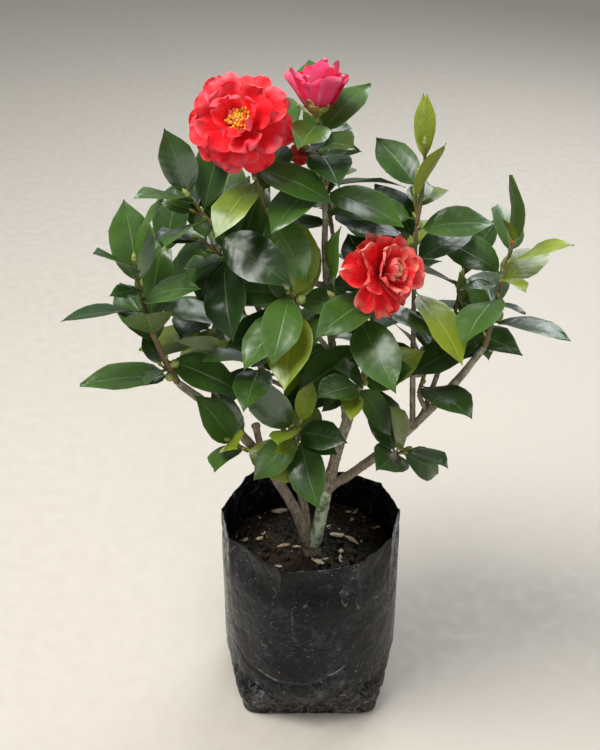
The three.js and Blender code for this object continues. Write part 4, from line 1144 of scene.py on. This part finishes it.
def petalFinish(name, deep, bright, rim):
    # Colour: deep at the foot, partly the petal's own deeper base and partly painted shade deep in the cup
    # and between the rings; bright over the blade, paler at the rim and where the mark nears 1; fine veins
    # fan out from the foot and carry both tone and relief.
    finish = Finish(name, Specular_IOR_Level=0.15)
    out = finish.maths("absolute", finish.maths("multiply_add", finish.across, 2, -1))
    edge = finish.maths("maximum", finish.between(out, 0.64, 1.0), finish.between(finish.down, 0.72, 1.0))
    cloud = finish.noise(120, 3)
    # painted shade: the deep foot colour is partly the petal's own deeper base and partly shade deep in the
    # cup and between the rings
    body = finish.mix(finish.between(finish.down, 0.0, 0.6), deep, bright)
    edge = finish.times(edge, finish.between(cloud, 0.3, 0.7, 0.1, 0.7))
    edge = finish.times(edge, finish.between(finish.mark, 0.0, 0.5, 0.2, 1.2))
    pale = finish.maths("maximum", edge, finish.between(finish.mark, 0.6, 1.0))
    body = finish.mix(pale, body, rim)
    fan = finish.node("CombineXYZ", {0: finish.times(finish.across, 26),
                                     1: finish.times(finish.down, 1.6), 2: finish.mark})
    vein = finish.noise(1.0, 3, 0.6, 0.3, fan.outputs[0])
    finish.colour(finish.mix(finish.between(vein, 0.45, 0.75, 0, 0.12), body, rim))
    finish.roughness(finish.between(vein, 0.2, 0.8, 0.45, 0.62))
    finish.relief(vein, 0.2)
    return finish.material

def stamenBodies(heart, axis, sideWay, upWay, radius, count, seed):
    # thin bent filaments in a bundle, each with an anther at its tip
    dice = np.random.default_rng(seed)
    filaments = []
    anthers = []
    share = np.linspace(0, 1, 6)[:, None]
    for number in range(count):
        turn = number * stamens["spiral"]
        reach = math.sqrt((number + 0.5) / count)
        out = sideWay * math.cos(turn) + upWay * math.sin(turn)
        length = radius * stamens["length"] * dice.uniform(0.85, 1.1) * (1 - 0.18 * reach)
        tilt = stamens["spread"] * radius * reach * dice.uniform(0.85, 1.25)
        middles = heart + axis * (length * share) + out * (0.06 * radius * reach + tilt * share ** 1.4)
        filaments.append(tubes(sweep(middles, stamens["radius"] * (1 - 0.3 * share[:, 0]), 6, out)[None]))
        tip = unit(middles[-1] - middles[-2] + out * 0.2)
        half, wide = stamens["anther"]
        anthers.append(spindle(middles[-1] - tip * half * 0.5, tip, half * 2, wide, 0.5, 8, 7, 0.2))
    return filaments, anthers

def plainGrain(name, low, high, scale, depth):
    # one colour that wanders to another by noise, with the same noise as relief
    finish = Finish(name)
    grain = finish.noise(scale, 4)
    finish.colour(finish.mix(finish.between(grain, 0.35, 0.65), low, high))
    finish.roughness(finish.between(grain, 0.3, 0.7, 0.5, 0.75))
    finish.relief(grain, depth)
    return finish.material

blossoms = {"open": [], "second": [], "opening": []}  # bodies of each piece
filamentBodies = []
antherBodies = []
sepalBodies = []
for order, (name, look) in enumerate(flowerLooks.items()):
    flower = massSizes[name]["flower"] or smallBud
    axis = along(flower["heading"], flower["rise"])
    sideWay, upWay = sideways(flower["heading"]), upward(flower["heading"], flower["rise"])
    heart = twigs[name][0].path[-1] - axis * look["sink"]
    radius = flower["radius"]
    rings = flowerForms[look["form"]]
    blossoms[look["piece"]] += petalBodies(heart, axis, sideWay, upWay, radius, rings, 300 + order,
                                           look["skew"])
    if look["stamens"]:
        filaments, anthers = stamenBodies(heart + axis * 2, axis, sideWay, upWay, radius, look["stamens"],
                                          500 + order)
        filamentBodies += filaments
        antherBodies += anthers
    length, width, lift = sepals["tall" if look["form"] in ("opening", "bud") else "short"]
    cup = [petalRing(5, lean - lift, length, width, -0.12) for lean in sepals["leans"]]
    sepalBodies += petalBodies(heart - axis * sepals["below"], axis, sideWay, upWay, radius, cup, 900 + order)
petalPaints = {  # name, then foot, blade and rim of the face, and of the back; each foot is partly painted shade
    "open": ("petal_red", ((0.68, 0.003, 0.006), (0.84, 0.014, 0.022), (0.88, 0.19, 0.24)),
             ((0.7, 0.02, 0.035), (0.82, 0.05, 0.08), (0.88, 0.2, 0.25))),
    "second": ("petal_scarlet", ((0.5, 0.002, 0.006), (0.76, 0.007, 0.016), (0.95, 0.46, 0.34)),
               ((0.55, 0.01, 0.02), (0.78, 0.04, 0.05), (0.95, 0.42, 0.32))),
    "opening": ("petal_magenta", ((0.55, 0.006, 0.03), (0.9, 0.05, 0.17), (0.93, 0.3, 0.42)),
                # painted shade: the magenta back's dark foot stands for the shade on the opening flower's
                # lower part
                ((0.36, 0.004, 0.014), (0.88, 0.05, 0.16), (0.92, 0.28, 0.4))),
}
for flower, (paint, face, back) in petalPaints.items():
    finishes = [petalFinish(paint, *face), petalFinish(paint + "_back", *back)]
    makePiece("petals_" + flower, blossoms[flower], finishes, sharp=60)
thread = plainGrain("filaments", (0.8, 0.6, 0.16), (0.9, 0.72, 0.3), 300, 0.1)
pollen = plainGrain("anthers", (0.8, 0.42, 0.02), (0.95, 0.66, 0.07), 700, 0.2)
makePiece("filaments", filamentBodies, [thread])
makePiece("anthers", antherBodies, [pollen])
makePiece("sepals", sepalBodies, [budFinish()], sharp=60)


# the grow bag

bag = {
    "radius": 80, "footHalf": 63.5, "footPower": 9, "gusset": 48, "film": 0.5, "floor": 1,
    "rim": 187.7, "rimSides": 6.5, "rimFront": 5.5, "peak": {"height": 15, "heading": 118, "spread": 16},
    "columns": 320, "wallRows": 120,
    "corners": [-3, 34, 62, 88, 118, 139, 182, 209, 252, 300, 330],  # where the free rim is kinked
    "kink": 1.0,  # how straight the rim runs from corner to corner
    "freeFrom": 148,  # above this the film hangs free of the soil
    "footFrom": 66, "footTo": 10,  # between these heights the crumples of the foot set in
    "softFolds": 0.7,
    "crumple": {"wall": 0.25, "foot": 2.6, "free": 0.4}, "fine": {"wall": 0.12, "foot": 1.2},
    "crease": {"heading": 252, "height": 57, "rise": 14, "spread": 36,  # a worn line with a painted highlight along it, low at its middle
               "from": 46, "to": 34, "depth": 1.0},
    "fold": {"height": 28, "rise": 17, "spread": 44, "depth": 1.9},  # where the foot is tucked under
    "seam": {"heading": 259, "from": 95, "to": 120, "height": 0.8, "width": 0.8},
    "rimKinks": 0.8,
    # how pale each mark paints the film: real wear, and on the crease partly a painted highlight
    "wearAndHighlight": {"crease": 1, "fold": 0.4, "foot": 0.5, "wall": 0.04, "seam": 0.4, "kink": 0.3},
    "footEdge": 1.8, "footRise": 2.2,  # the foot's rounded edge
    "soleShares": [0.01, 0.3, 0.6, 0.85, 0.95],
}

def bagRadius(high, angle):
    # a rounded square at the foot that swells to a circle at the top of the gusset
    swell = smoothStep(high, 0, bag["gusset"])
    half = bag["footHalf"] + (bag["radius"] - bag["footHalf"]) * swell
    power = 2 + (bag["footPower"] - 2) * (1 - swell) ** 1.6
    return half / (np.abs(np.cos(angle)) ** power + np.abs(np.sin(angle)) ** power) ** (1 / power)

def rimHeight(angle):
    # a level that rises at both sides and falls at the front, with a hill at the back corner
    degrees = np.degrees(angle) % 360
    peak = bag["peak"]
    tilt = bag["rimSides"] * np.cos(2 * angle) - bag["rimFront"] * np.sin(angle)
    return bag["rim"] + tilt + peak["height"] * hill(degrees, peak["heading"], peak["spread"])

def kinkedShare(angle):
    # straight runs between the rim's corners, as a share of the round radius
    corners = np.radians(np.array(bag["corners"] + [bag["corners"][0] + 360]))
    turned = (angle - corners[0]) % (2 * np.pi) + corners[0]
    low = np.clip(np.searchsorted(corners, turned, side="right") - 1, 0, len(corners) - 2)
    middle, half = (corners[low] + corners[low + 1]) / 2, (corners[low + 1] - corners[low]) / 2
    return np.cos(half) / np.cos(turned - middle)

def cornerShare(angle, width):
    # 1 at each of the rim's corners, and falling to both sides
    degrees = np.degrees(angle) % 360
    total = 0 * degrees
    for corner in bag["corners"]:
        total = np.maximum(total, hill(awayFrom(degrees, corner), 0, width))
    return total

def roundWaves(angle, high, seed, fewest, most, slant):
    # waves that close round the bag and slant with the height
    dice = np.random.default_rng(seed)
    waves = 7
    total = 0 * (angle + high)
    for _ in range(waves):
        count = dice.integers(fewest, most + 1) * dice.choice([-1, 1])
        rise = high * dice.uniform(-slant, slant)
        total = total + np.sin(count * angle + rise + dice.uniform(0, 2 * np.pi))
    return total / math.sqrt(waves)

def ridges(angle, high, seed, fewest, most, slant, sharpness):
    # thin lines where such waves cross zero: 1 on a line and 0 away from it
    return np.clip(1 - np.abs(roundWaves(angle, high, seed, fewest, most, slant)), 0, 1) ** sharpness

def filmFolds(high, angle):
    # How far the film stands in from the filled shape, and how worn it is there: soft folds, sharp
    # crumples near the foot and the rim, a worn crease at the front whose pale line is partly a painted
    # highlight, a fold over the tucked foot, kinks at the rim's corners and a welded seam that stands out.
    free = smoothStep(high, bag["freeFrom"] - 6, bag["freeFrom"] + 26)
    foot = smoothStep(high, bag["footFrom"], bag["footTo"])
    soft = bag["softFolds"] * (1 + roundWaves(angle, high, 3, 4, 11, 0.03)) * (0.5 + 0.6 * free)
    crumple = ridges(angle, high, 5, 5, 15, 0.11, 5)
    fine = ridges(angle, high, 8, 12, 30, 0.3, 6)
    fold, crease, seam = bag["fold"], bag["crease"], bag["seam"]
    degrees = np.degrees(angle) % 180 - 90
    line = fold["height"] + fold["rise"] * (degrees / fold["spread"]) ** 2 + 0.8 * np.sin(degrees * 0.21)
    folded = smoothStep(np.abs(degrees), fold["spread"] * 1.1, fold["spread"] * 0.8)
    below = hill(high, line - 3, 3.4) - 0.4 * hill(high, line + 2.4, 2.0)
    away = awayFrom(np.degrees(angle), crease["heading"])
    arc = crease["height"] + crease["rise"] * (away / crease["spread"]) ** 2 + 0.7 * np.sin(away * 0.3)
    creased = smoothStep(np.abs(away), crease["from"], crease["to"])
    pressed = crease["depth"] * hill(high, arc - 2.6, 2.6) - 0.3 * hill(high, arc + 1, 1.2)
    kinkMarks = cornerShare(angle, 1.6) * smoothStep(high, 120, 178)
    seamAway = np.degrees(angle) % 360 - seam["heading"] + 0.25 * np.sin(high * 0.1)
    seamLine = hill(seamAway, 0, seam["width"]) * smoothStep(high, seam["from"], seam["to"])
    kinks = -bag["rimKinks"] * cornerShare(angle, 2.5) * smoothStep(high, 120, 186)
    rough, thin = bag["crumple"], bag["fine"]
    dent = soft + crumple * (rough["wall"] + rough["foot"] * foot + rough["free"] * free)
    dent = dent + fine * (thin["wall"] + thin["foot"] * foot)
    dent = dent + fold["depth"] * below * folded + kinks - seam["height"] * seamLine + creased * pressed
    share = bag["wearAndHighlight"]
    # painted highlight: the pale line just above the crease's dent is partly wear and partly a painted
    # highlight on its ridge
    wearAndHighlight = np.maximum(share["crease"] * hill(high, arc + 0.2, 1.3) * creased,
                      share["fold"] * hill(high, line + 1.2, 1.4) * folded)
    wearAndHighlight = np.maximum(wearAndHighlight, share["foot"] * crumple * foot + share["wall"] * crumple * (1 - foot))
    return dent, np.maximum(wearAndHighlight, np.maximum(share["seam"] * seamLine, share["kink"] * kinkMarks))

def bagBody():
    # One sheet of film, as rings from the middle of the underside out, up the wall, over the rim
    # and back down the inside to the middle of the floor. Its mark says how worn it is, and where a pale
    # painted highlight lies on the rim's lip and the foot's edge.
    angle = np.linspace(0, 2 * np.pi, bag["columns"], endpoint=False)[None, :]
    shares = np.linspace(0, 1, bag["wallRows"])[:, None]
    top = rimHeight(angle) + 1.2 * cornerShare(angle, 6) + 0.5 * roundWaves(angle, 0 * angle, 21, 9, 25, 0)
    outerHigh = bag["footRise"] + (top - bag["footRise"]) * shares ** 0.97
    innerHigh = bag["floor"] + 0.5 + (top - bag["floor"] - 0.9) * shares[::-1] ** 0.97

    def wall(high):
        free = smoothStep(high, bag["freeFrom"] - 4, 178) * bag["kink"]
        kinked = bagRadius(high, angle) * (1 + free * (kinkedShare(angle) - 1))
        dent, wearAndHighlight = filmFolds(high, angle)
        return kinked - dent * smoothStep(high, -1, 6), wearAndHighlight

    outer, outerWearAndHighlight = wall(outerHigh)
    inner, innerWearAndHighlight = wall(innerHigh)
    inner = inner - bag["film"]
    footRadius = bagRadius(0 * angle, angle)
    soleShares = np.array(bag["soleShares"])[:, None]
    turn = np.radians([28, 60])[:, None]
    soleRadius = footRadius - bag["footEdge"]
    edgeHigh = bag["footRise"] - bag["footRise"] * np.cos(turn)
    sole = levelRings(soleShares * soleRadius, angle, 0 * angle)
    edge = levelRings(soleRadius + bag["footEdge"] * np.sin(turn), angle, edgeHigh)
    lip = levelRings(outer[-1:] - bag["film"] / 2, angle, top + 0.25)
    floor = levelRings(soleShares[::-1] * soleRadius, angle, 0 * angle + bag["floor"])
    walls = [levelRings(outer, angle, outerHigh), lip, levelRings(inner, angle, innerHigh)]
    body = tubes(np.concatenate([sole, edge, *walls, floor])[None])
    plain = np.zeros((len(soleShares), bag["columns"]))
    # painted highlight: the lip's 0.75 paints a pale line where the rim's edge catches light; the foot edge's
    # 0.5 is partly wear and partly a painted highlight
    wearAndHighlight = [plain, plain[:2] + 0.5, outerWearAndHighlight, plain[:1] + 0.75, 0.5 * innerWearAndHighlight, plain]
    body["marks"] = np.concatenate(wearAndHighlight).reshape(-1)
    return body

filmPaints = {
    "film": (0.0012, 0.0016, 0.0026), "greyer": (0.0036, 0.0044, 0.0068),
    "dust": (0.115, 0.135, 0.17), "earth": (0.16, 0.14, 0.11),
    # the last paint serves both real wear and the painted highlights on the rim's lip and the crease
    "speck": (0.28, 0.28, 0.27), "scuff": (0.3, 0.3, 0.29), "wearAndHighlight": (0.46, 0.45, 0.43),
}

def filmFinish():
    # Colour: near-black film under thin mottled dust that lies in clouds, and is browner and thicker
    # along the foot. It turns pale in broken lines where the mark says that it is worn, and where it
    # carries a painted highlight on the rim's lip and along the crease, on curved scuffs, which follow
    # the level lines of slow noise, and on specks. Dust is matt and the bare film shines. Relief: fine
    # crinkles.
    finish = Finish("polythene_film", Specular_IOR_Level=0.19)
    split = finish.node("SeparateXYZ", {0: finish.place})
    cloud = finish.noise(17, 5, 0.6, 0.6)
    mottle = finish.noise(170, 6, 0.75)
    low = finish.between(split.outputs[2], 0.0, 0.08, 0.85, 0)
    dust = finish.times(finish.between(cloud, 0.4, 0.66), finish.between(mottle, 0.49, 0.61))
    dust = finish.maths("multiply_add", finish.between(mottle, 0.46, 0.6), low, dust)
    dabs = finish.times(finish.between(finish.noise(95, 3, 0.6), 0.55, 0.62), 0.8)
    dust = finish.maths("add", dust, finish.times(dabs, finish.between(cloud, 0.4, 0.6, 0.25, 1)))
    brown = finish.maths("add", low, finish.between(split.outputs[0], -0.02, 0.07, 0, 0.6))
    def scuffs(scale, by, width, cut):
        # thin lines where the noise is near a half, kept only in patches
        moved = finish.moved(by)
        level = finish.maths("absolute", finish.maths("subtract", finish.noise(scale, 1, 0.5, 0, moved), 0.5))
        patch = finish.between(finish.noise(scale * 1.3, 2, 0.6, 0, moved), cut, cut + 0.03)
        return finish.times(finish.between(level, 0.0, width, 1, 0), patch)
    marks = finish.maths("maximum", scuffs(26, (3, 1, 2), 0.01, 0.62), scuffs(60, (7, 5, 1), 0.02, 0.62))
    specks = finish.maths("maximum", finish.between(finish.noise(420, 2), 0.68, 0.74),
                          finish.between(finish.noise(150, 1, 0.5, 0.8), 0.68, 0.78, 0, 0.55))
    specks = finish.times(specks, finish.between(cloud, 0.36, 0.56))
    broken = finish.times(finish.between(finish.noise(34, 2), 0.46, 0.54),
                          finish.between(finish.noise(170, 4, 0.7), 0.36, 0.56))
    # painted highlight: this mask pales the film with real wear, and also with painted highlights on the
    # rim's lip and along the crease
    wearAndHighlight = finish.times(finish.between(finish.mark, 0.15, 0.9), broken)
    paints = filmPaints
    film = finish.mix(finish.between(cloud, 0.3, 0.7), paints["film"], paints["greyer"])
    dusty = finish.mix(brown, paints["dust"], paints["earth"])
    cover = finish.times(dust, finish.maths("multiply_add", low, 0.22, 0.2))
    film = finish.mix(cover, film, dusty)
    film = finish.mix(finish.times(specks, 0.62), film, paints["speck"])
    film = finish.mix(finish.times(marks, 0.35), film, paints["scuff"])
    finish.colour(finish.mix(finish.times(wearAndHighlight, 0.75), film, paints["wearAndHighlight"]))
    finish.roughness(finish.between(dust, 0.05, 0.6, 0.2, 0.55))
    crinkle = finish.noise(60, 4, 0.6)
    finish.relief(finish.maths("add", crinkle, finish.times(finish.noise(22, 3), 1.6)), 1.6)
    return finish.material

makePiece("bag_film", [bagBody()], [filmFinish()], ["grow_bag"])


# compost, with crumbs and pale chips

soil = {
    "top": 143, "flat": 40, "fall": 3, "gap": 2.6, "columns": 160, "topRows": 64,
    "lump": 1.6, "grain": 0.9, "dust": 0.6,
    "crumbs": 620, "crumb": (0.9, 4.2),
    "chips": 42, "chip": (1.8, 7.0), "chipWidth": (0.3, 0.6),
    "reach": 74, "clearOfTrunk": 15,  # where loose pieces lie
    "sideRows": 16, "under": 2.4,
}
bigChips = [  # x, y, heading, length, width of the chips that stand out most
    (-28, 60, 5, 17, 7.5), (-40, 35, 130, 10, 4), (-47, 18, 35, 10, 4.5), (-24, 7, 12, 12, 4.5),
    (-12, 6, 170, 8, 3.5), (7, -17, 325, 13, 6), (13, -13, 20, 7, 3.5), (28, 1, 80, 6, 5),
    (27, -10, 85, 8, 4), (25, 20, 352, 13, 7), (38, 15, 325, 17, 5), (40, 49, 60, 6, 3.5),
    (44, 58, 50, 8, 4), (30, -28, 100, 6, 4), (-59, 17, 60, 7, 4.5), (62, 34, 20, 8, 3),
]

def soilHigh(x, y):
    # nearly flat, falling to the wall, with lumps and finer crumbs
    out = np.hypot(x, y)
    high = soil["top"] - soil["fall"] * smoothStep(out, soil["flat"], bag["radius"])
    high = high + soil["lump"] * ripple(x, y, 11, 0.09, 0.22)
    high = high + soil["grain"] * ripple(x, y, 12, 0.5, 1.1)
    return high + soil["dust"] * ripple(x, y, 13, 1.2, 2.2)

def soilBody():
    # rings from the middle of the underside out, up the wall and in over the top to the trunk
    angle = np.linspace(0, 2 * np.pi, soil["columns"], endpoint=False)[None, :]
    def side(high):
        return bagRadius(high, angle) - soil["gap"] - np.maximum(filmFolds(high, angle)[0], 0)
    edge = side(0 * angle + soil["top"] - soil["fall"] - 3)
    shares = np.linspace(1, 0.008, soil["topRows"])[:, None]
    x, y = shares * edge * np.cos(angle), shares * edge * np.sin(angle)
    sideHigh = np.linspace(3, soil["top"] - 7, soil["sideRows"])[:, None] + 0 * angle
    base = np.array([0.02, 0.5, 0.97])[:, None] * side(0 * angle + 3)
    top = np.stack([x, y, soilHigh(x, y)], -1)
    under = levelRings(base, angle, soil["under"])
    return tubes(np.concatenate([under, levelRings(side(sideHigh), angle, sideHigh), top])[None])

def scatter(count, dice):
    # places on the compost, even by area, clear of the trunk
    turn = dice.uniform(0, 2 * np.pi, count * 3)
    out = soil["reach"] * np.sqrt(dice.uniform(0, 1, count * 3))
    x, y = out * np.cos(turn), out * np.sin(turn)
    foot = trunkPlace["foot"]
    kept = np.hypot(x - foot[0], y - foot[1]) > soil["clearOfTrunk"]
    return x[kept][:count], y[kept][:count]

def crumbBodies():
    # each crumb is a short uneven spindle that points in any way; most are small
    dice = np.random.default_rng(77)
    x, y = scatter(soil["crumbs"], dice)
    low, high = soil["crumb"]
    size = low + (high - low) * dice.uniform(size=len(x)) ** 3.2
    bodies = []
    for place, radius in zip(np.stack([x, y, soilHigh(x, y)], -1), size):
        way = along(dice.uniform(0, 2 * np.pi), dice.uniform(-0.5, 1.2))
        uneven = dice.uniform(0.72, 1.15, (6, 7))
        swell = np.array([0.3, 0.82, 1, 0.95, 0.7, 0.28])[:, None] * uneven * radius
        middles = place + way * (np.linspace(-0.85, 0.85, 6) * radius)[:, None]
        bodies.append(tubes(sweep(middles, swell, 7)[None]))
    return bodies

def chipBody(x, y, heading, length, width, dice):
    # a flat flake, bent a little, that lies on the compost: its outline swells with a half wave
    across = np.array([1, 0.6, -0.6, -1, -0.6, 0.6])[None, :]
    top = np.array([0, 1, 1, 0, -1, -1])[None, :]
    share = np.linspace(0, 1, 9)[:, None]
    rise = dice.uniform(-0.12, 0.12)
    way, side = along(heading, rise), sideways(heading)
    face = np.cross(way, side)
    lumpy = 1 + 0.22 * np.sin(share * dice.uniform(5, 11) + dice.uniform(0, 6))
    uneven = dice.uniform(0.6, 1.15, (9, 6))
    half = np.maximum(np.sin(np.pi * share) ** 0.3, 0.3) * width / 2 * lumpy * uneven
    bend = 0.08 * width * np.sin(share * 6 + dice.uniform(0, 6))
    height = top * min(0.7, width * 0.16) + 0.07 * length * np.sin(np.pi * share) * dice.uniform(-0.4, 1)
    place = np.array([x, y, soilHigh(x, y) + 1.5])
    points = place + way * ((share - 0.5) * length + 0 * across)[..., None]
    points = points + side * (across * half + bend)[..., None] + face * height[..., None]
    return tubes(points[None])

def chipBodies():
    # the big chips where they are listed, and small ones scattered
    dice = np.random.default_rng(78)
    bodies = [chipBody(x, y, math.radians(heading), length, width, dice)
              for x, y, heading, length, width in bigChips]
    low, high = soil["chip"]
    for x, y in zip(*scatter(soil["chips"], dice)):
        length = low + (high - low) * dice.uniform() ** 2.4
        heading, slim = dice.uniform(0, 2 * np.pi), dice.uniform(*soil["chipWidth"])
        bodies.append(chipBody(x, y, heading, length, length * slim, dice))
    return bodies

earthPaints = {  # dark and pale grains, each towards brown, and grit
    "dark": ((0.004, 0.0038, 0.002), (0.017, 0.009, 0.005)),
    "pale": ((0.035, 0.032, 0.014), (0.075, 0.04, 0.022)),
    "grit": (0.3, 0.24, 0.15),
}

def earthFinish():
    # dark crumbs that wander to reddish brown in patches, with a few olive and pale grains
    finish = Finish("compost_soil", Specular_IOR_Level=0.3)
    grain = finish.noise(260, 5, 0.7)
    patch = finish.noise(42, 3)
    dark = finish.mix(finish.between(patch, 0.4, 0.65), *earthPaints["dark"])
    pale = finish.mix(finish.between(patch, 0.35, 0.6), *earthPaints["pale"])
    crumbs = finish.mix(finish.between(grain, 0.4, 0.72), dark, pale)
    grit = finish.between(finish.noise(700, 2), 0.68, 0.76, 0, 0.7)
    finish.colour(finish.mix(grit, crumbs, earthPaints["grit"]))
    finish.roughness(finish.between(grain, 0.3, 0.7, 0.5, 0.85))
    finish.relief(grain, 1.2)
    return finish.material

makePiece("compost", [soilBody()] + crumbBodies(), [earthFinish()], ["soil"])
flake = plainGrain("pale_chips", (0.34, 0.24, 0.15), (0.68, 0.57, 0.41), 120, 0.5)
makePiece("chips", chipBodies(), [flake])


# floor, light and camera

stage = {"floorHalf": 9, "below": 0.0004, "sky": (0.92, 0.96, 1.0), "skyStrength": 0.3}
lamps = {  # place, aim, size, power, colour
    "sky_key": ((-0.7, -0.2, 1.9), (0, 0, 0.35), 1.1, 44, (1.0, 0.985, 0.95)),
    "sky_back": ((0.6, 1.3, 1.4), (0, 0, 0.4), 1.2, 20, (0.93, 0.96, 1.0)),
    "front_fill": ((0.4, -1.6, 0.9), (0, 0, 0.25), 1.2, 9, (1.0, 0.98, 0.94)),
}
view = {"place": (-0.009, -0.772, 0.836), "down": 33, "lens": 54.24}

def makeFloor():
    # a pale floor with a faint grain
    mesh = bpy.data.meshes.new("floor")
    corners = np.array([(-1, -1, 0), (1, -1, 0), (1, 1, 0), (-1, 1, 0)]) * stage["floorHalf"]
    mesh.from_pydata((corners - [0, 0, stage["below"]]).tolist(), [], [(0, 1, 2, 3)])
    mesh.uv_layers.new(name="surface")
    mesh.materials.append(plainGrain("floor_paint", (0.53, 0.49, 0.43), (0.55, 0.51, 0.45), 70, 0.04))
    floor = bpy.data.objects.new("floor", mesh)
    bpy.context.scene.collection.objects.link(floor)

def makeLamp(name, place, aim, size, power, colour):
    # a round soft lamp that faces its aim
    lamp = bpy.data.lights.new(name, "AREA")
    lamp.shape = "DISK"
    lamp.size = size
    lamp.energy = power
    lamp.color = colour
    thing = bpy.data.objects.new(name, lamp)
    thing.location = place
    back = unit(np.array(place, float) - np.array(aim, float))
    heading, rise = math.atan2(back[1], back[0]), math.asin(back[2])
    thing.rotation_euler = (math.pi / 2 - rise, 0, heading + math.pi / 2)
    bpy.context.scene.collection.objects.link(thing)

def makeSky():
    # an even pale light from all round
    world = bpy.data.worlds.new("soft_daylight")
    world.use_nodes = True
    background = world.node_tree.nodes["Background"]
    background.inputs["Color"].default_value = (*stage["sky"], 1)
    background.inputs["Strength"].default_value = stage["skyStrength"]
    bpy.context.scene.world = world

def makeCamera():
    lens = bpy.data.cameras.new("camera")
    lens.lens = view["lens"]
    camera = bpy.data.objects.new("camera", lens)
    camera.location = view["place"]
    camera.rotation_euler = (math.radians(90 - view["down"]), 0, 0)
    bpy.context.scene.collection.objects.link(camera)
    bpy.context.scene.camera = camera

makeFloor()
for name, lamp in lamps.items():
    makeLamp(name, *lamp)
makeSky()
makeCamera()
bpy.context.scene.view_settings.view_transform = "Standard"
print("stage: floor,", len(lamps), "lamps, camera")
